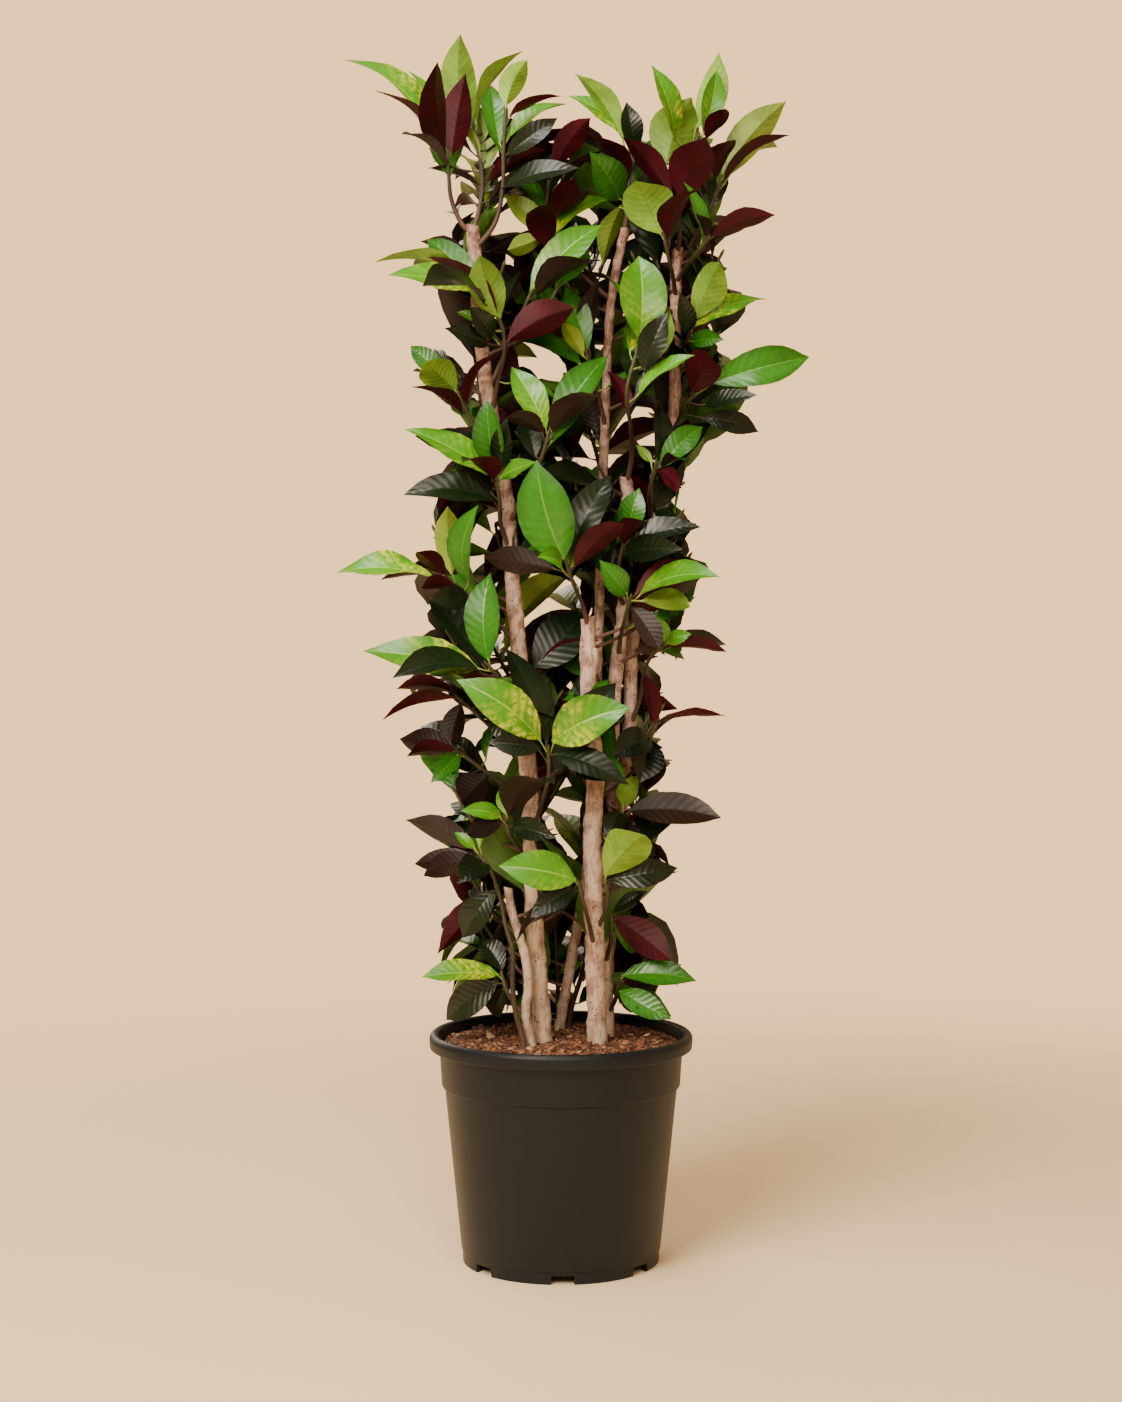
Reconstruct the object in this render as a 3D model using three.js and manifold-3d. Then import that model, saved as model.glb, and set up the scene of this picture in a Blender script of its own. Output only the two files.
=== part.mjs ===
// Potted croton: cut woody trunks with leafy shoots, standing in bark and peat in a black nursery pot.
// Millimetres, +Z up, the floor under the pot at z = 0, the pot's axis at x = y = 0, the front at -Y.
import * as THREE from "three";
import { mergeVertices } from "three/addons/utils/BufferGeometryUtils.js";
import Module from "manifold-3d";

const wasm = await Module();
wasm.setup();
const { Manifold, Mesh } = wasm;

// The pot.
const RIM_RADIUS = 160; // outside of the rolled rim
const POT_HEIGHT = 275;
const MOUTH_RADIUS = 148.7; // inside of the rolled rim
const WALL = 2;
const BAND_LOW = 212; // bottom of the upright band under the rim
const FOOT_RADIUS = 119;
const FOOT_HEIGHT = 14;
const FLOOR_TOP = 13.5; // top of the raised floor
const PAD_RADIUS = 62; // flat middle of the floor, which stands on the ground
const POT_SIDES = 36;
const SLOT = { count: 7, width: 27.6, height: 10, turn: 1 }; // in the foot ring
const DRAIN = { count: 7, diameter: 12, circle: 90, sides: 8 };

// The soil and the trunks' seats in it.
const SOIL_EDGE = 263;
const SOIL_CROWN = 268;
const GAP = 0.3; // between pieces that touch
const SLIVERS = [0.2, 0.15, 0.12, 0.09, 0.06, 0.03]; // largest that is sound is smoothed away
const TRUNK_DEPTH = 90; // of a trunk in the soil
const SHOOT_DEPTH = 45; // of a young stem in the soil

// Places on the plant are given as seen from the front: across, down, and depth behind the pot's axis.
// One step across or down is STEP mm at the axis, seen by an eye that is EYE_AWAY in front of it.
const STEP = 1.215;
const AXIS_ACROSS = 561.5;
const EYE_DOWN = 610;
const EYE_HEIGHT = 787;
const EYE_AWAY = 2916;
const EYE = new THREE.Vector3(0, -EYE_AWAY, EYE_HEIGHT);

function seen(across, down, depth) {
  const scale = STEP * (1 + depth / EYE_AWAY);
  return new THREE.Vector3((across - AXIS_ACROSS) * scale, depth, EYE_HEIGHT + (EYE_DOWN - down) * scale);
}

// Trunks, from the soil up: [across, down, depth, diameter]. tilt slopes the cut at the top.
const TRUNKS = {
  trunk_a: {
    tilt: 12,
    path: [
      [543.6, 1042, -25, 23], [535, 925, -25, 22], [529, 773, -25, 21], [520, 660, -25, 20],
      [513, 580, -25, 19], [508, 505, -25, 18], [486, 378, -25, 17], [472.5, 222, -25, 16],
    ],
  },
  trunk_b: {
    tilt: -14,
    path: [
      [598, 1042, -30, 23.5], [594.5, 925, -30, 23], [593, 828, -30, 22], [596, 780, -30, 21],
      [589, 698, -30, 20], [588.6, 614, -30, 18],
    ],
    fork: [[589, 685, -30, 13], [593, 665, -31, 13], [594.5, 648, -31, 13]],
  },
  trunk_c: {
    tilt: 8,
    path: [
      [608, 1030, 20, 18], [605, 960, 20, 17.5], [606, 895, 20, 17.5], [611, 800, 20, 17],
      [615, 691, 20, 17], [624, 608, 20, 16.5], [628, 500, 20, 15.5], [625, 474, 20, 15],
    ],
  },
  trunk_d: {
    tilt: -10,
    path: [
      [604, 1020, 65, 18], [612, 900, 60, 17.5], [622, 800, 52, 17], [630, 725, 45, 16.5],
      [633, 640, 40, 16], [641, 600, 40, 15.5], [658, 526, 40, 15], [668, 470, 40, 15],
      [675, 400, 40, 14.5], [676, 292, 40, 14], [678, 245, 40, 14],
    ],
  },
  trunk_e: {
    tilt: 10,
    path: [
      [560, 1028, 50, 13], [571, 964, 45, 13], [590, 850, 36, 12.5], [598, 660, 32, 12],
      [604, 463, 28, 11.5], [612, 300, 20, 11], [626, 225, 10, 10.5],
    ],
  },
  trunk_f: {
    tilt: 15,
    path: [
      [532, 1047, -52, 12], [526, 1010, -52, 11.5], [529, 985, -52, 11], [526, 958, -52, 11],
      [519, 933, -52, 10.5], [511, 905, -52, 10], [508, 884, -52, 10],
    ],
  },
};

// Ages of leaf, from the shoot's tip down: the colour that a spray takes from most of its leaves.
const FRESH = 0, STRIPED = 1, GREEN = 2, DARK = 3, WINE = 4;
const LEAF_COLOURS = ["#6f9f2b", "#9aa838", "#3c7325", "#26301a", "#4b2220"];
const TOP = 1, UNDER = -1; // the face that is turned to the front

// Leafy shoots. from: the trunk and the height on it, or the soil. path: the shoot, as seen, with its depth.
// leaves: [foot across, down, tip across, down, tip's depth past the foot's, width as seen, face, age].
// more: how many leaves grow beside those, by rule, and to which side.
const SPRAYS = {
  spray_top_left: {
    from: ["trunk_a", 234],
    path: [[464, 226, -26], [452, 200, -28], [448, 163, -30], [441, 138, -32]], more: 2,
    leaves: [
      [436, 140, 346, 60, 25, 22, TOP, STRIPED], [446, 160, 438, 62, -35, 28, UNDER, WINE],
      [452, 155, 466, 73, -35, 34, UNDER, WINE], [441, 150, 376, 91, -40, 9, UNDER, WINE],
      [445, 165, 402, 134, -80, 8, UNDER, DARK], [440, 128, 409, 71, 30, 12, TOP, FRESH],
    ],
  },
  spray_top: {
    from: ["trunk_a", 231], path: [[479, 212, -10], [483, 180, 5], [474, 128, 14]], more: 2,
    leaves: [
      [470, 130, 461, 34, -30, 38, UNDER, FRESH], [487, 168, 462, 98, -40, 28, UNDER, STRIPED],
      [481, 165, 446, 118, 20, 10, UNDER, STRIPED], [489, 183, 548, 150, -35, 20, UNDER, WINE],
      [479, 185, 428, 168, -30, 8, UNDER, DARK], [477, 127, 523, 51, 20, 11, UNDER, FRESH],
    ],
  },
  spray_top_middle: {
    from: ["trunk_a", 250],
    path: [[495, 224, -34], [503, 190, -38], [504, 150, -42], [506, 112, -45]], more: 2,
    leaves: [
      [506, 106, 528, 60, -20, 28, UNDER, FRESH], [500, 145, 492, 85, 35, 28, TOP, GREEN],
      [507, 140, 567, 104, 30, 14, TOP, FRESH], [510, 116, 562, 96, -20, 10, UNDER, WINE],
      [507, 155, 558, 118, 20, 24, TOP, DARK], [502, 188, 580, 168, -25, 20, TOP, DARK],
    ],
  },
  spray_inner_top: {
    from: ["trunk_e", 300], path: [[590, 282, 14], [563, 255, 4], [548, 225, 0], [549, 185, 0]], more: 2,
    leaves: [
      [555, 168, 591, 118, -40, 28, UNDER, WINE], [549, 216, 576, 178, -60, 24, UNDER, WINE],
      [552, 250, 540, 206, -80, 34, UNDER, WINE], [560, 212, 590, 190, -70, 16, UNDER, DARK],
      [543, 226, 505, 195, -40, 26, UNDER, STRIPED], [545, 236, 508, 250, -30, 22, UNDER, STRIPED],
      [552, 238, 617, 200, 30, 16, TOP, STRIPED],
    ],
  },
  spray_top_right: {
    from: ["trunk_d", 254], path: [[680, 235, 22], [679, 205, 4], [682, 172, 0], [698, 138, -4]], more: 2,
    leaves: [
      [667, 165, 692, 97, -45, 52, UNDER, FRESH], [676, 140, 652, 65, 25, 22, TOP, STRIPED],
      [696, 128, 719, 52, -25, 30, UNDER, FRESH], [704, 135, 717, 70, 30, 25, TOP, FRESH],
      [682, 200, 706, 137, -50, 45, UNDER, WINE], [672, 198, 623, 137, -35, 25, UNDER, WINE],
      [706, 140, 727, 109, -60, 18, UNDER, WINE],
    ],
  },
  spray_right_tip: {
    from: ["trunk_d", 266], path: [[694, 240, 42], [712, 206, 36], [721, 181, 30]], more: 2,
    leaves: [
      [723, 178, 787, 101, -30, 38, UNDER, STRIPED], [725, 181, 790, 135, 20, 11, UNDER, WINE],
      [726, 182, 778, 147, 60, 15, TOP, FRESH], [717, 179, 735, 140, -80, 20, UNDER, WINE],
      [711, 208, 716, 165, 50, 24, TOP, DARK],
    ],
  },
  spray_right_shoulder: {
    from: ["trunk_d", 282], path: [[686, 268, 5], [698, 252, -28], [707, 240, -40]], more: 2,
    leaves: [
      [711, 238, 776, 215, -35, 22, UNDER, WINE], [706, 238, 699, 215, -40, 12, UNDER, DARK],
      [703, 241, 684, 182, 35, 14, TOP, GREEN],
    ],
  },
  spray_olive: {
    from: ["trunk_d", 296], path: [[673, 274, 2], [668, 254, -22], [665, 238, -30]], more: 2,
    leaves: [[661, 234, 636, 181, -45, 52, UNDER, FRESH], [670, 238, 700, 190, -40, 22, UNDER, WINE]],
  },
  spray_top_inner: {
    from: ["trunk_e", 234], path: [[628, 212, 4], [629, 192, 14], [632, 158, 28]], more: 2,
    leaves: [
      [624, 142, 576, 74, -20, 22, UNDER, FRESH], [630, 142, 569, 96, 30, 20, TOP, STRIPED],
      [637, 150, 627, 102, 40, 24, TOP, DARK], [626, 186, 595, 136, -50, 20, UNDER, WINE],
      [627, 193, 576, 158, -30, 16, UNDER, WINE], [620, 200, 590, 152, 35, 36, TOP, GREEN],
      [622, 205, 603, 266, -30, 22, UNDER, STRIPED],
    ],
  },
  spray_left: {
    from: ["trunk_a", 414],
    path: [[498, 384, -46], [505, 350, -62], [501, 322, -70], [482, 294, -72]], more: 2,
    leaves: [
      [501, 318, 480, 255, -40, 38, UNDER, FRESH], [508, 341, 575, 308, -30, 38, UNDER, WINE],
      [499, 322, 428, 257, 75, 13, UNDER, WINE], [480, 288, 427, 239, 40, 28, TOP, GREEN],
      [474, 291, 389, 275, -40, 24, TOP, STRIPED], [470, 280, 376, 262, 0, 12, UNDER, FRESH],
      [484, 303, 423, 286, -90, 20, TOP, DARK], [495, 335, 470, 306, 70, 24, TOP, DARK],
      [490, 345, 445, 328, -40, 20, TOP, DARK], [492, 330, 458, 312, -30, 13, TOP, FRESH],
    ],
  },
  spray_middle: {
    from: ["trunk_a", 392], path: [[506, 352, -30], [521, 316, -42], [531, 294, -50]], more: 2,
    leaves: [[531, 291, 603, 225, 25, 34, TOP, FRESH], [536, 296, 602, 261, -60, 22, UNDER, DARK]],
  },
  spray_left_low: {
    from: ["trunk_a", 474],
    path: [[488, 453, -34], [478, 433, -38], [467, 412, -40], [460, 395, -42]], more: 2,
    leaves: [
      [446, 380, 411, 346, 20, 24, TOP, GREEN], [457, 391, 425, 362, -60, 36, UNDER, FRESH],
      [468, 405, 500, 354, -40, 10, UNDER, WINE],
      [457, 399, 413, 371, 0, 8, TOP, DARK], [463, 414, 412, 387, -60, 12, UNDER, WINE],
    ],
  },
  spray_bright_pair: {
    from: ["trunk_a", 526], path: [[524, 493, -58], [540, 463, -82], [549, 434, -90]], more: 2,
    leaves: [
      [547, 428, 512, 367, 35, 32, TOP, FRESH], [552, 430, 608, 356, 35, 36, TOP, GREEN],
      [554, 434, 600, 396, -45, 24, UNDER, DARK], [545, 433, 506, 418, -45, 20, UNDER, DARK],
      [536, 458, 524, 418, 20, 26, TOP, DARK],
    ],
  },
  spray_centre: {
    from: ["trunk_e", 428], path: [[600, 400, 6], [592, 374, -10], [587, 352, -20]], more: 2,
    leaves: [
      [588, 350, 566, 287, 25, 28, TOP, GREEN], [584, 357, 563, 322, -50, 18, UNDER, STRIPED],
      [588, 340, 553, 297, 20, 16, TOP, FRESH], [590, 350, 600, 277, 20, 20, UNDER, DARK],
    ],
  },
  spray_big_bright: {
    from: ["trunk_c", 485], path: [[632, 459, 0], [631, 426, -45], [627, 392, -78], [637, 352, -72]], more: 2,
    leaves: [
      [627, 384, 628, 284, 30, 42, TOP, GREEN], [640, 340, 639, 256, 25, 50, TOP, FRESH],
      [638, 396, 695, 355, -25, 14, TOP, FRESH], [652, 366, 660, 295, 30, 14, UNDER, FRESH],
      [645, 372, 668, 312, 50, 30, TOP, DARK], [630, 411, 608, 371, -40, 16, UNDER, WINE],
      [630, 352, 606, 275, 40, 20, TOP, STRIPED],
    ],
  },
  spray_right_arm: {
    from: ["trunk_d", 436], path: [[680, 418, 12], [685, 404, -18], [694, 396, -30]], more: 2,
    leaves: [
      [692, 392, 706, 351, -50, 38, UNDER, WINE], [712, 383, 810, 357, 20, 42, TOP, GREEN],
      [704, 406, 758, 395, -35, 18, TOP, DARK], [702, 414, 803, 413, 10, 12, UNDER, FRESH],
      [703, 418, 759, 432, -40, 24, TOP, DARK],
    ],
  },
  spray_right_upper: {
    from: ["trunk_d", 364], path: [[683, 349, 22], [690, 334, 2]], more: 2,
    leaves: [
      [692, 328, 767, 299, 25, 20, TOP, STRIPED], [690, 334, 680, 292, 45, 20, TOP, DARK],
      [694, 320, 720, 262, -40, 38, UNDER, FRESH], [693, 335, 735, 312, -40, 16, UNDER, WINE],
      [692, 342, 725, 340, -50, 20, TOP, GREEN],
    ],
  },
  spray_right_middle: {
    from: ["trunk_d", 536], path: [[651, 513, 8], [650, 490, -30], [656, 467, -50]], more: 1,
    leaves: [
      [661, 468, 703, 427, 25, 28, TOP, GREEN], [656, 461, 659, 403, 30, 20, TOP, DARK],
      [653, 463, 637, 445, 10, 10, UNDER, FRESH], [657, 469, 678, 492, -45, 18, UNDER, WINE],
      [661, 468, 688, 463, -50, 8, UNDER, DARK],
    ],
  },
  spray_left_pair: {
    from: ["trunk_a", 552], path: [[501, 524, -44], [500, 501, -56], [496, 477, -60]], more: 2,
    leaves: [
      [492, 477, 405, 429, -10, 26, TOP, FRESH], [495, 470, 488, 398, 30, 34, TOP, GREEN],
      [500, 478, 537, 462, -30, 16, TOP, FRESH], [497, 502, 404, 495, -25, 30, TOP, DARK],
      [494, 480, 462, 462, -60, 16, UNDER, WINE], [503, 470, 507, 418, 20, 24, TOP, DARK],
    ],
  },
  spray_broad: {
    from: ["trunk_b", 630], path: [[583, 604, -56], [573, 582, -88], [567, 564, -100]], more: 2,
    leaves: [
      [565, 560, 537, 460, 25, 58, TOP, GREEN], [571, 555, 612, 475, 30, 36, TOP, DARK],
      [556, 569, 484, 557, -30, 30, UNDER, DARK], [563, 570, 538, 557, -25, 18, TOP, FRESH],
      [570, 570, 582, 545, -20, 14, TOP, FRESH], [574, 568, 625, 524, -25, 26, UNDER, WINE],
    ],
  },
  spray_left_arm: {
    from: ["trunk_a", 646], path: [[492, 616, -28], [466, 593, -30], [451, 580, -30]], more: 2,
    leaves: [
      [438, 579, 337, 573, -15, 22, TOP, STRIPED], [452, 574, 448, 506, -35, 28, UNDER, STRIPED],
      [446, 576, 417, 552, -50, 20, UNDER, WINE], [446, 581, 381, 580, -25, 10, UNDER, WINE],
      [470, 584, 479, 505, -30, 26, TOP, GREEN], [455, 587, 422, 588, -50, 16, UNDER, WINE],
      [470, 598, 430, 600, -40, 26, TOP, DARK],
    ],
  },
  spray_right_low_top: {
    from: ["trunk_c", 606], path: [[618, 588, -22], [619, 567, -46], [622, 551, -58]], more: 1,
    leaves: [
      [626, 548, 701, 527, -15, 24, TOP, DARK], [624, 554, 683, 549, -45, 30, TOP, DARK],
      [628, 535, 640, 488, 15, 28, TOP, GREEN], [624, 545, 648, 522, -50, 20, UNDER, WINE],
    ],
  },
  spray_right_low: {
    from: ["trunk_c", 656], path: [[622, 633, -20], [627, 613, -60], [631, 598, -80]], more: 1,
    leaves: [
      [635, 595, 690, 563, -35, 36, UNDER, WINE], [640, 595, 720, 577, -10, 24, TOP, FRESH],
      [634, 600, 673, 602, -50, 30, UNDER, WINE], [631, 606, 660, 650, -40, 26, UNDER, DARK],
      [642, 601, 691, 607, -20, 24, UNDER, FRESH], [628, 594, 600, 560, -35, 26, TOP, GREEN],
    ],
  },
  spray_left_mid: {
    from: ["trunk_a", 726], path: [[508, 692, -54], [497, 675, -66], [489, 666, -70]], more: 2,
    leaves: [
      [489, 661, 491, 573, 25, 38, TOP, GREEN], [480, 669, 364, 651, -15, 38, TOP, STRIPED],
      [484, 667, 428, 600, 15, 30, TOP, DARK], [482, 673, 393, 678, -35, 26, TOP, DARK],
      [493, 676, 460, 690, -40, 20, UNDER, WINE],
    ],
  },
  spray_dark_broad: {
    from: ["trunk_a", 746], path: [[534, 712, -8], [536, 692, -2], [534, 673, -4]], more: 1,
    leaves: [[534, 668, 582, 612, 25, 50, TOP, DARK], [537, 676, 600, 640, -20, 20, UNDER, WINE]],
  },
  spray_right_side: {
    from: ["trunk_d", 730], path: [[640, 700, 26], [646, 668, -5], [653, 655, -25], [663, 646, -40]], more: 1,
    leaves: [
      [665, 643, 656, 615, -60, 14, TOP, FRESH], [667, 643, 692, 634, -40, 16, TOP, FRESH],
      [668, 647, 727, 652, -25, 14, UNDER, WINE], [671, 640, 727, 645, 10, 16, TOP, DARK],
      [656, 650, 645, 630, -50, 20, UNDER, WINE], [660, 651, 685, 660, -40, 10, TOP, GREEN],
    ],
  },
  spray_right_wisp: {
    from: ["trunk_d", 796], path: [[640, 769, 22], [648, 746, 5], [655, 729, -4]], more: 1,
    leaves: [
      [654, 726, 645, 674, 15, 18, UNDER, WINE], [658, 722, 726, 716, -20, 8, UNDER, WINE],
      [649, 736, 612, 758, -50, 34, TOP, DARK], [648, 744, 640, 783, -40, 40, TOP, DARK],
    ],
  },
  spray_yellow_pair: {
    from: ["trunk_a", 838], path: [[542, 803, -70], [549, 776, -100], [549, 751, -110]], more: 1,
    leaves: [
      [541, 740, 457, 680, -25, 44, TOP, STRIPED], [553, 742, 631, 708, -30, 50, TOP, STRIPED],
      [547, 744, 506, 648, 15, 34, TOP, DARK], [541, 749, 489, 742, -45, 26, TOP, DARK],
      [555, 754, 629, 785, -35, 28, TOP, DARK],
    ],
  },
  spray_left_dark: {
    from: ["trunk_a", 768], path: [[502, 738, -16], [478, 715, -20], [459, 698, -20]], more: 1,
    leaves: [
      [457, 698, 383, 720, -10, 14, UNDER, WINE], [458, 694, 397, 689, 20, 16, UNDER, WINE],
      [462, 703, 452, 745, -30, 26, UNDER, DARK],
    ],
  },
  spray_left_lower: {
    from: ["trunk_a", 808], path: [[508, 788, -4], [480, 767, -8], [459, 751, -10]], more: 1,
    leaves: [
      [455, 746, 400, 739, -20, 30, UNDER, DARK], [456, 751, 407, 757, -30, 16, UNDER, WINE],
      [459, 754, 431, 783, -40, 20, TOP, GREEN], [463, 747, 420, 727, 15, 18, TOP, DARK],
      [488, 775, 462, 803, -40, 40, UNDER, DARK],
    ],
  },
  spray_low_centre: {
    from: ["trunk_a", 880], path: [[522, 852, -48], [510, 834, -66], [506, 820, -70]], more: 1,
    leaves: [
      [509, 816, 555, 784, -35, 28, UNDER, DARK], [502, 817, 461, 811, -30, 18, TOP, FRESH],
      [507, 815, 507, 782, 35, 14, TOP, FRESH], [504, 823, 467, 833, -45, 24, UNDER, DARK],
      [512, 826, 557, 838, -45, 26, TOP, DARK],
    ],
  },
  spray_right_arch: {
    from: ["trunk_c", 878], path: [[617, 853, -8], [621, 833, -30], [622, 817, -40]], more: 1,
    leaves: [
      [628, 811, 722, 818, -25, 36, UNDER, DARK], [623, 806, 640, 775, 20, 22, UNDER, FRESH],
      [620, 812, 607, 838, -30, 26, TOP, DARK],
    ],
  },
  spray_left_foot: {
    from: ["soil", [524, 1044, -64]], more: 1,
    path: [
      [516, 1012, -64], [513, 985, -64], [513, 950, -64], [506, 925, -60], [500, 895, -58], [490, 868, -54],
      [478, 853, -50],
    ],
    leaves: [
      [473, 848, 406, 820, 20, 26, UNDER, DARK], [473, 855, 415, 864, -20, 24, UNDER, DARK],
      [478, 860, 424, 876, -40, 26, UNDER, DARK], [476, 849, 455, 832, 10, 12, TOP, FRESH],
      [484, 862, 458, 884, -60, 30, TOP, DARK], [480, 849, 487, 826, -10, 7, TOP, FRESH],
    ],
  },
  spray_low_bright: {
    from: ["trunk_b", 948], path: [[588, 917, -70], [583, 899, -86], [580, 886, -92]], more: 1,
    leaves: [[577, 880, 499, 866, -25, 40, TOP, FRESH], [577, 889, 531, 918, -45, 26, TOP, DARK]],
  },
  spray_low_olive: {
    from: ["trunk_b", 936], path: [[606, 910, -48], [608, 893, -58], [605, 881, -62]], more: 1,
    leaves: [
      [605, 876, 645, 835, -30, 48, UNDER, FRESH], [609, 880, 678, 868, -20, 30, TOP, DARK],
      [609, 885, 678, 897, 10, 10, UNDER, DARK],
    ],
  },
  spray_low_left: {
    from: ["trunk_f", 922], path: [[506, 907, -42], [500, 895, -34], [497, 888, -30]], more: 1,
    leaves: [
      [494, 890, 463, 938, -40, 32, TOP, DARK], [495, 893, 438, 954, -5, 30, UNDER, WINE],
    ],
  },
  spray_low_right: {
    from: ["trunk_c", 966], path: [[611, 942, -4], [612, 921, -18]], more: 1,
    leaves: [
      [614, 917, 672, 961, -30, 34, UNDER, WINE], [613, 913, 648, 891, -25, 14, TOP, DARK],
      [613, 922, 640, 948, 10, 26, TOP, GREEN],
    ],
  },
  spray_rim_left: {
    from: ["trunk_f", 1016], path: [[515, 1004, -44], [507, 990, -42], [503, 977, -40]], more: 1,
    leaves: [
      [500, 975, 422, 977, -20, 24, TOP, STRIPED], [499, 982, 447, 1020, 30, 34, TOP, DARK],
      [503, 970, 480, 940, 25, 26, TOP, DARK], [505, 987, 490, 1012, -40, 24, TOP, DARK],
    ],
  },
  spray_rim_right: {
    from: ["trunk_c", 1016], path: [[616, 999, 5], [619, 981, -8]], more: 1,
    leaves: [
      [622, 976, 697, 981, -20, 26, TOP, GREEN], [622, 980, 663, 978, -50, 28, UNDER, DARK],
      [619, 990, 672, 1019, -30, 26, TOP, GREEN], [618, 992, 638, 1008, 20, 20, UNDER, WINE],
    ],
  },
  spray_small_green: {
    from: ["soil", [559, 1022, 72]], path: [[558, 975, 66], [556, 945, 64], [555, 918, 62]], more: 2,
    leaves: [
      [560, 973, 583, 962, -45, 12, TOP, FRESH], [556, 970, 545, 985, -50, 16, TOP, GREEN],
      [557, 960, 566, 945, 20, 14, TOP, GREEN],
    ],
  },
  spray_back_foot: {
    from: ["soil", [570, 1018, 84]],
    path: [[586, 960, 88], [592, 900, 100], [588, 840, 122]], more: 7, leaves: [],
  },
  spray_back_low: {
    from: ["trunk_d", 860], path: [[634, 825, 90], [640, 800, 110]], more: 6, leaves: [],
  },
  spray_back_left: {
    from: ["trunk_a", 700], path: [[505, 668, 20], [490, 640, 50]], more: 6, leaves: [],
  },
  spray_back_middle: {
    from: ["trunk_e", 670], path: [[588, 636, 80], [575, 606, 110]], more: 7, leaves: [],
  },
  spray_back_right: {
    from: ["trunk_d", 590], path: [[652, 562, 85], [660, 535, 110]], more: 7, leaves: [],
  },
  spray_back_inner: {
    from: ["trunk_e", 490], path: [[598, 458, 80], [588, 425, 112]], more: 7, leaves: [],
  },
  spray_back_high_left: {
    from: ["trunk_a", 450], path: [[488, 415, 22], [478, 375, 60], [474, 350, 72]], more: 8, leaves: [],
  },
  spray_back_high_right: {
    from: ["trunk_d", 400], path: [[685, 372, 85], [694, 340, 115]], more: 8, leaves: [],
  },
  spray_back_crown: {
    from: ["trunk_e", 350], path: [[604, 318, 72], [592, 275, 105], [586, 250, 112]], more: 9, leaves: [],
  },
  spray_back_top: {
    from: ["trunk_a", 290], path: [[480, 255, 20], [488, 215, 52], [492, 180, 60]], more: 8, leaves: [],
  },
};

// How a leaf is built.
const LEAF_LENGTH = [100, 140]; // of a grown leaf by rule, foot to tip
const LEAF_SLIMNESS = 0.4; // width over length
const BLADE_STATIONS = [0.27, 0.56, 0.84]; // along a long blade, between foot and tip
const SHORT_STATIONS = [0.34, 0.74];
const LONG_BLADE = 118;
const SHORT_STALK = 13; // shorter than this, a stalk and its blade are one taper
const RIB_HALF = 1; // half the thickness at the rib; the blade thins to its edges
const STALK_HALF = 1.4;
const STALK_LENGTH = 12;
const OWN_START = 0.12; // share of a blade near its foot that may touch the other leaves of its shoot
const ROOT_INSET = 4; // of the last leaf's root from the shoot's end
const ROOT_SPACING = 4.5; // along the shoot, of leaves whose feet are close together
const GOLDEN_TURN = 137.508;

// Room for the leaves: a map of small cells that holds which piece is where.
const CELL = 5;
const SAMPLE = 3; // spacing of the points that test and fill the map
const ROOM = { x: [-330, 360], y: [-330, 340], z: [0, 1520] };
const ROOM_CELLS = ["x", "y", "z"].map((axis) => Math.ceil((ROOM[axis][1] - ROOM[axis][0]) / CELL) + 2);
const room = new Uint8Array(ROOM_CELLS[0] * ROOM_CELLS[1] * ROOM_CELLS[2]);

function cellOf(p) {
  const i = Math.floor((p.x - ROOM.x[0]) / CELL) + 1;
  const j = Math.floor((p.y - ROOM.y[0]) / CELL) + 1;
  const k = Math.floor((p.z - ROOM.z[0]) / CELL) + 1;
  return (k * ROOM_CELLS[1] + j) * ROOM_CELLS[0] + i;
}

const NEAR = [];
for (const k of [-1, 0, 1])
  for (const j of [-1, 0, 1])
    for (const i of [-1, 0, 1]) NEAR.push((k * ROOM_CELLS[1] + j) * ROOM_CELLS[0] + i);

function fillRoom(points, owner) {
  for (const p of points) room[cellOf(p)] = owner;
}

function roomIsFree(points, owner) {
  return points.every((p) => {
    const cell = cellOf(p);
    return NEAR.every((step) => room[cell + step] === 0 || room[cell + step] === owner);
  });
}

// Whether a leaf stays out of the other leaves of its own shoot, once past their common root.
function clearOfOwn(leaf, owner) {
  return leafSamples(leaf, OWN_START).every((p) => room[cellOf(p)] !== owner);
}

// The same stream of numbers in 0..1 for the same seed.
function dice(seed) {
  let state = seed % 2147483647;
  const next = () => (state = (state * 16807) % 2147483647) / 2147483647;
  next();
  next();
  return next;
}

// A closed solid from rings of points: ring by ring, with a fan over each end, or a point at the far end.
// The four sides of a blade are split alike above and beneath, from its edges on to its rib.
function loft(rings, tip) {
  const sides = rings[0].length;
  const points = rings.flat();
  const triangles = [];
  for (let r = 0; r + 1 < rings.length; r++)
    for (let s = 0; s < sides; s++) {
      const a = r * sides + s, b = r * sides + ((s + 1) % sides);
      if (tip && s % 2) triangles.push(a, b, a + sides, b, b + sides, a + sides);
      else triangles.push(a, b, b + sides, a, b + sides, a + sides);
    }
  for (let s = 1; s + 1 < sides; s++) triangles.push(0, s + 1, s);
  const last = (rings.length - 1) * sides;
  if (tip) {
    points.push(tip);
    for (let s = 0; s < sides; s++) triangles.push(last + s, last + ((s + 1) % sides), points.length - 1);
  } else for (let s = 1; s + 1 < sides; s++) triangles.push(last, last + s, last + s + 1);
  return solidOf(points.flatMap((p) => [p.x, p.y, p.z]), triangles);
}

function solidOf(coordinates, triangles) {
  const mesh = new Mesh({
    numProp: 3,
    vertProperties: new Float32Array(coordinates),
    triVerts: new Uint32Array(triangles),
  });
  return new Manifold(mesh);
}

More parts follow.
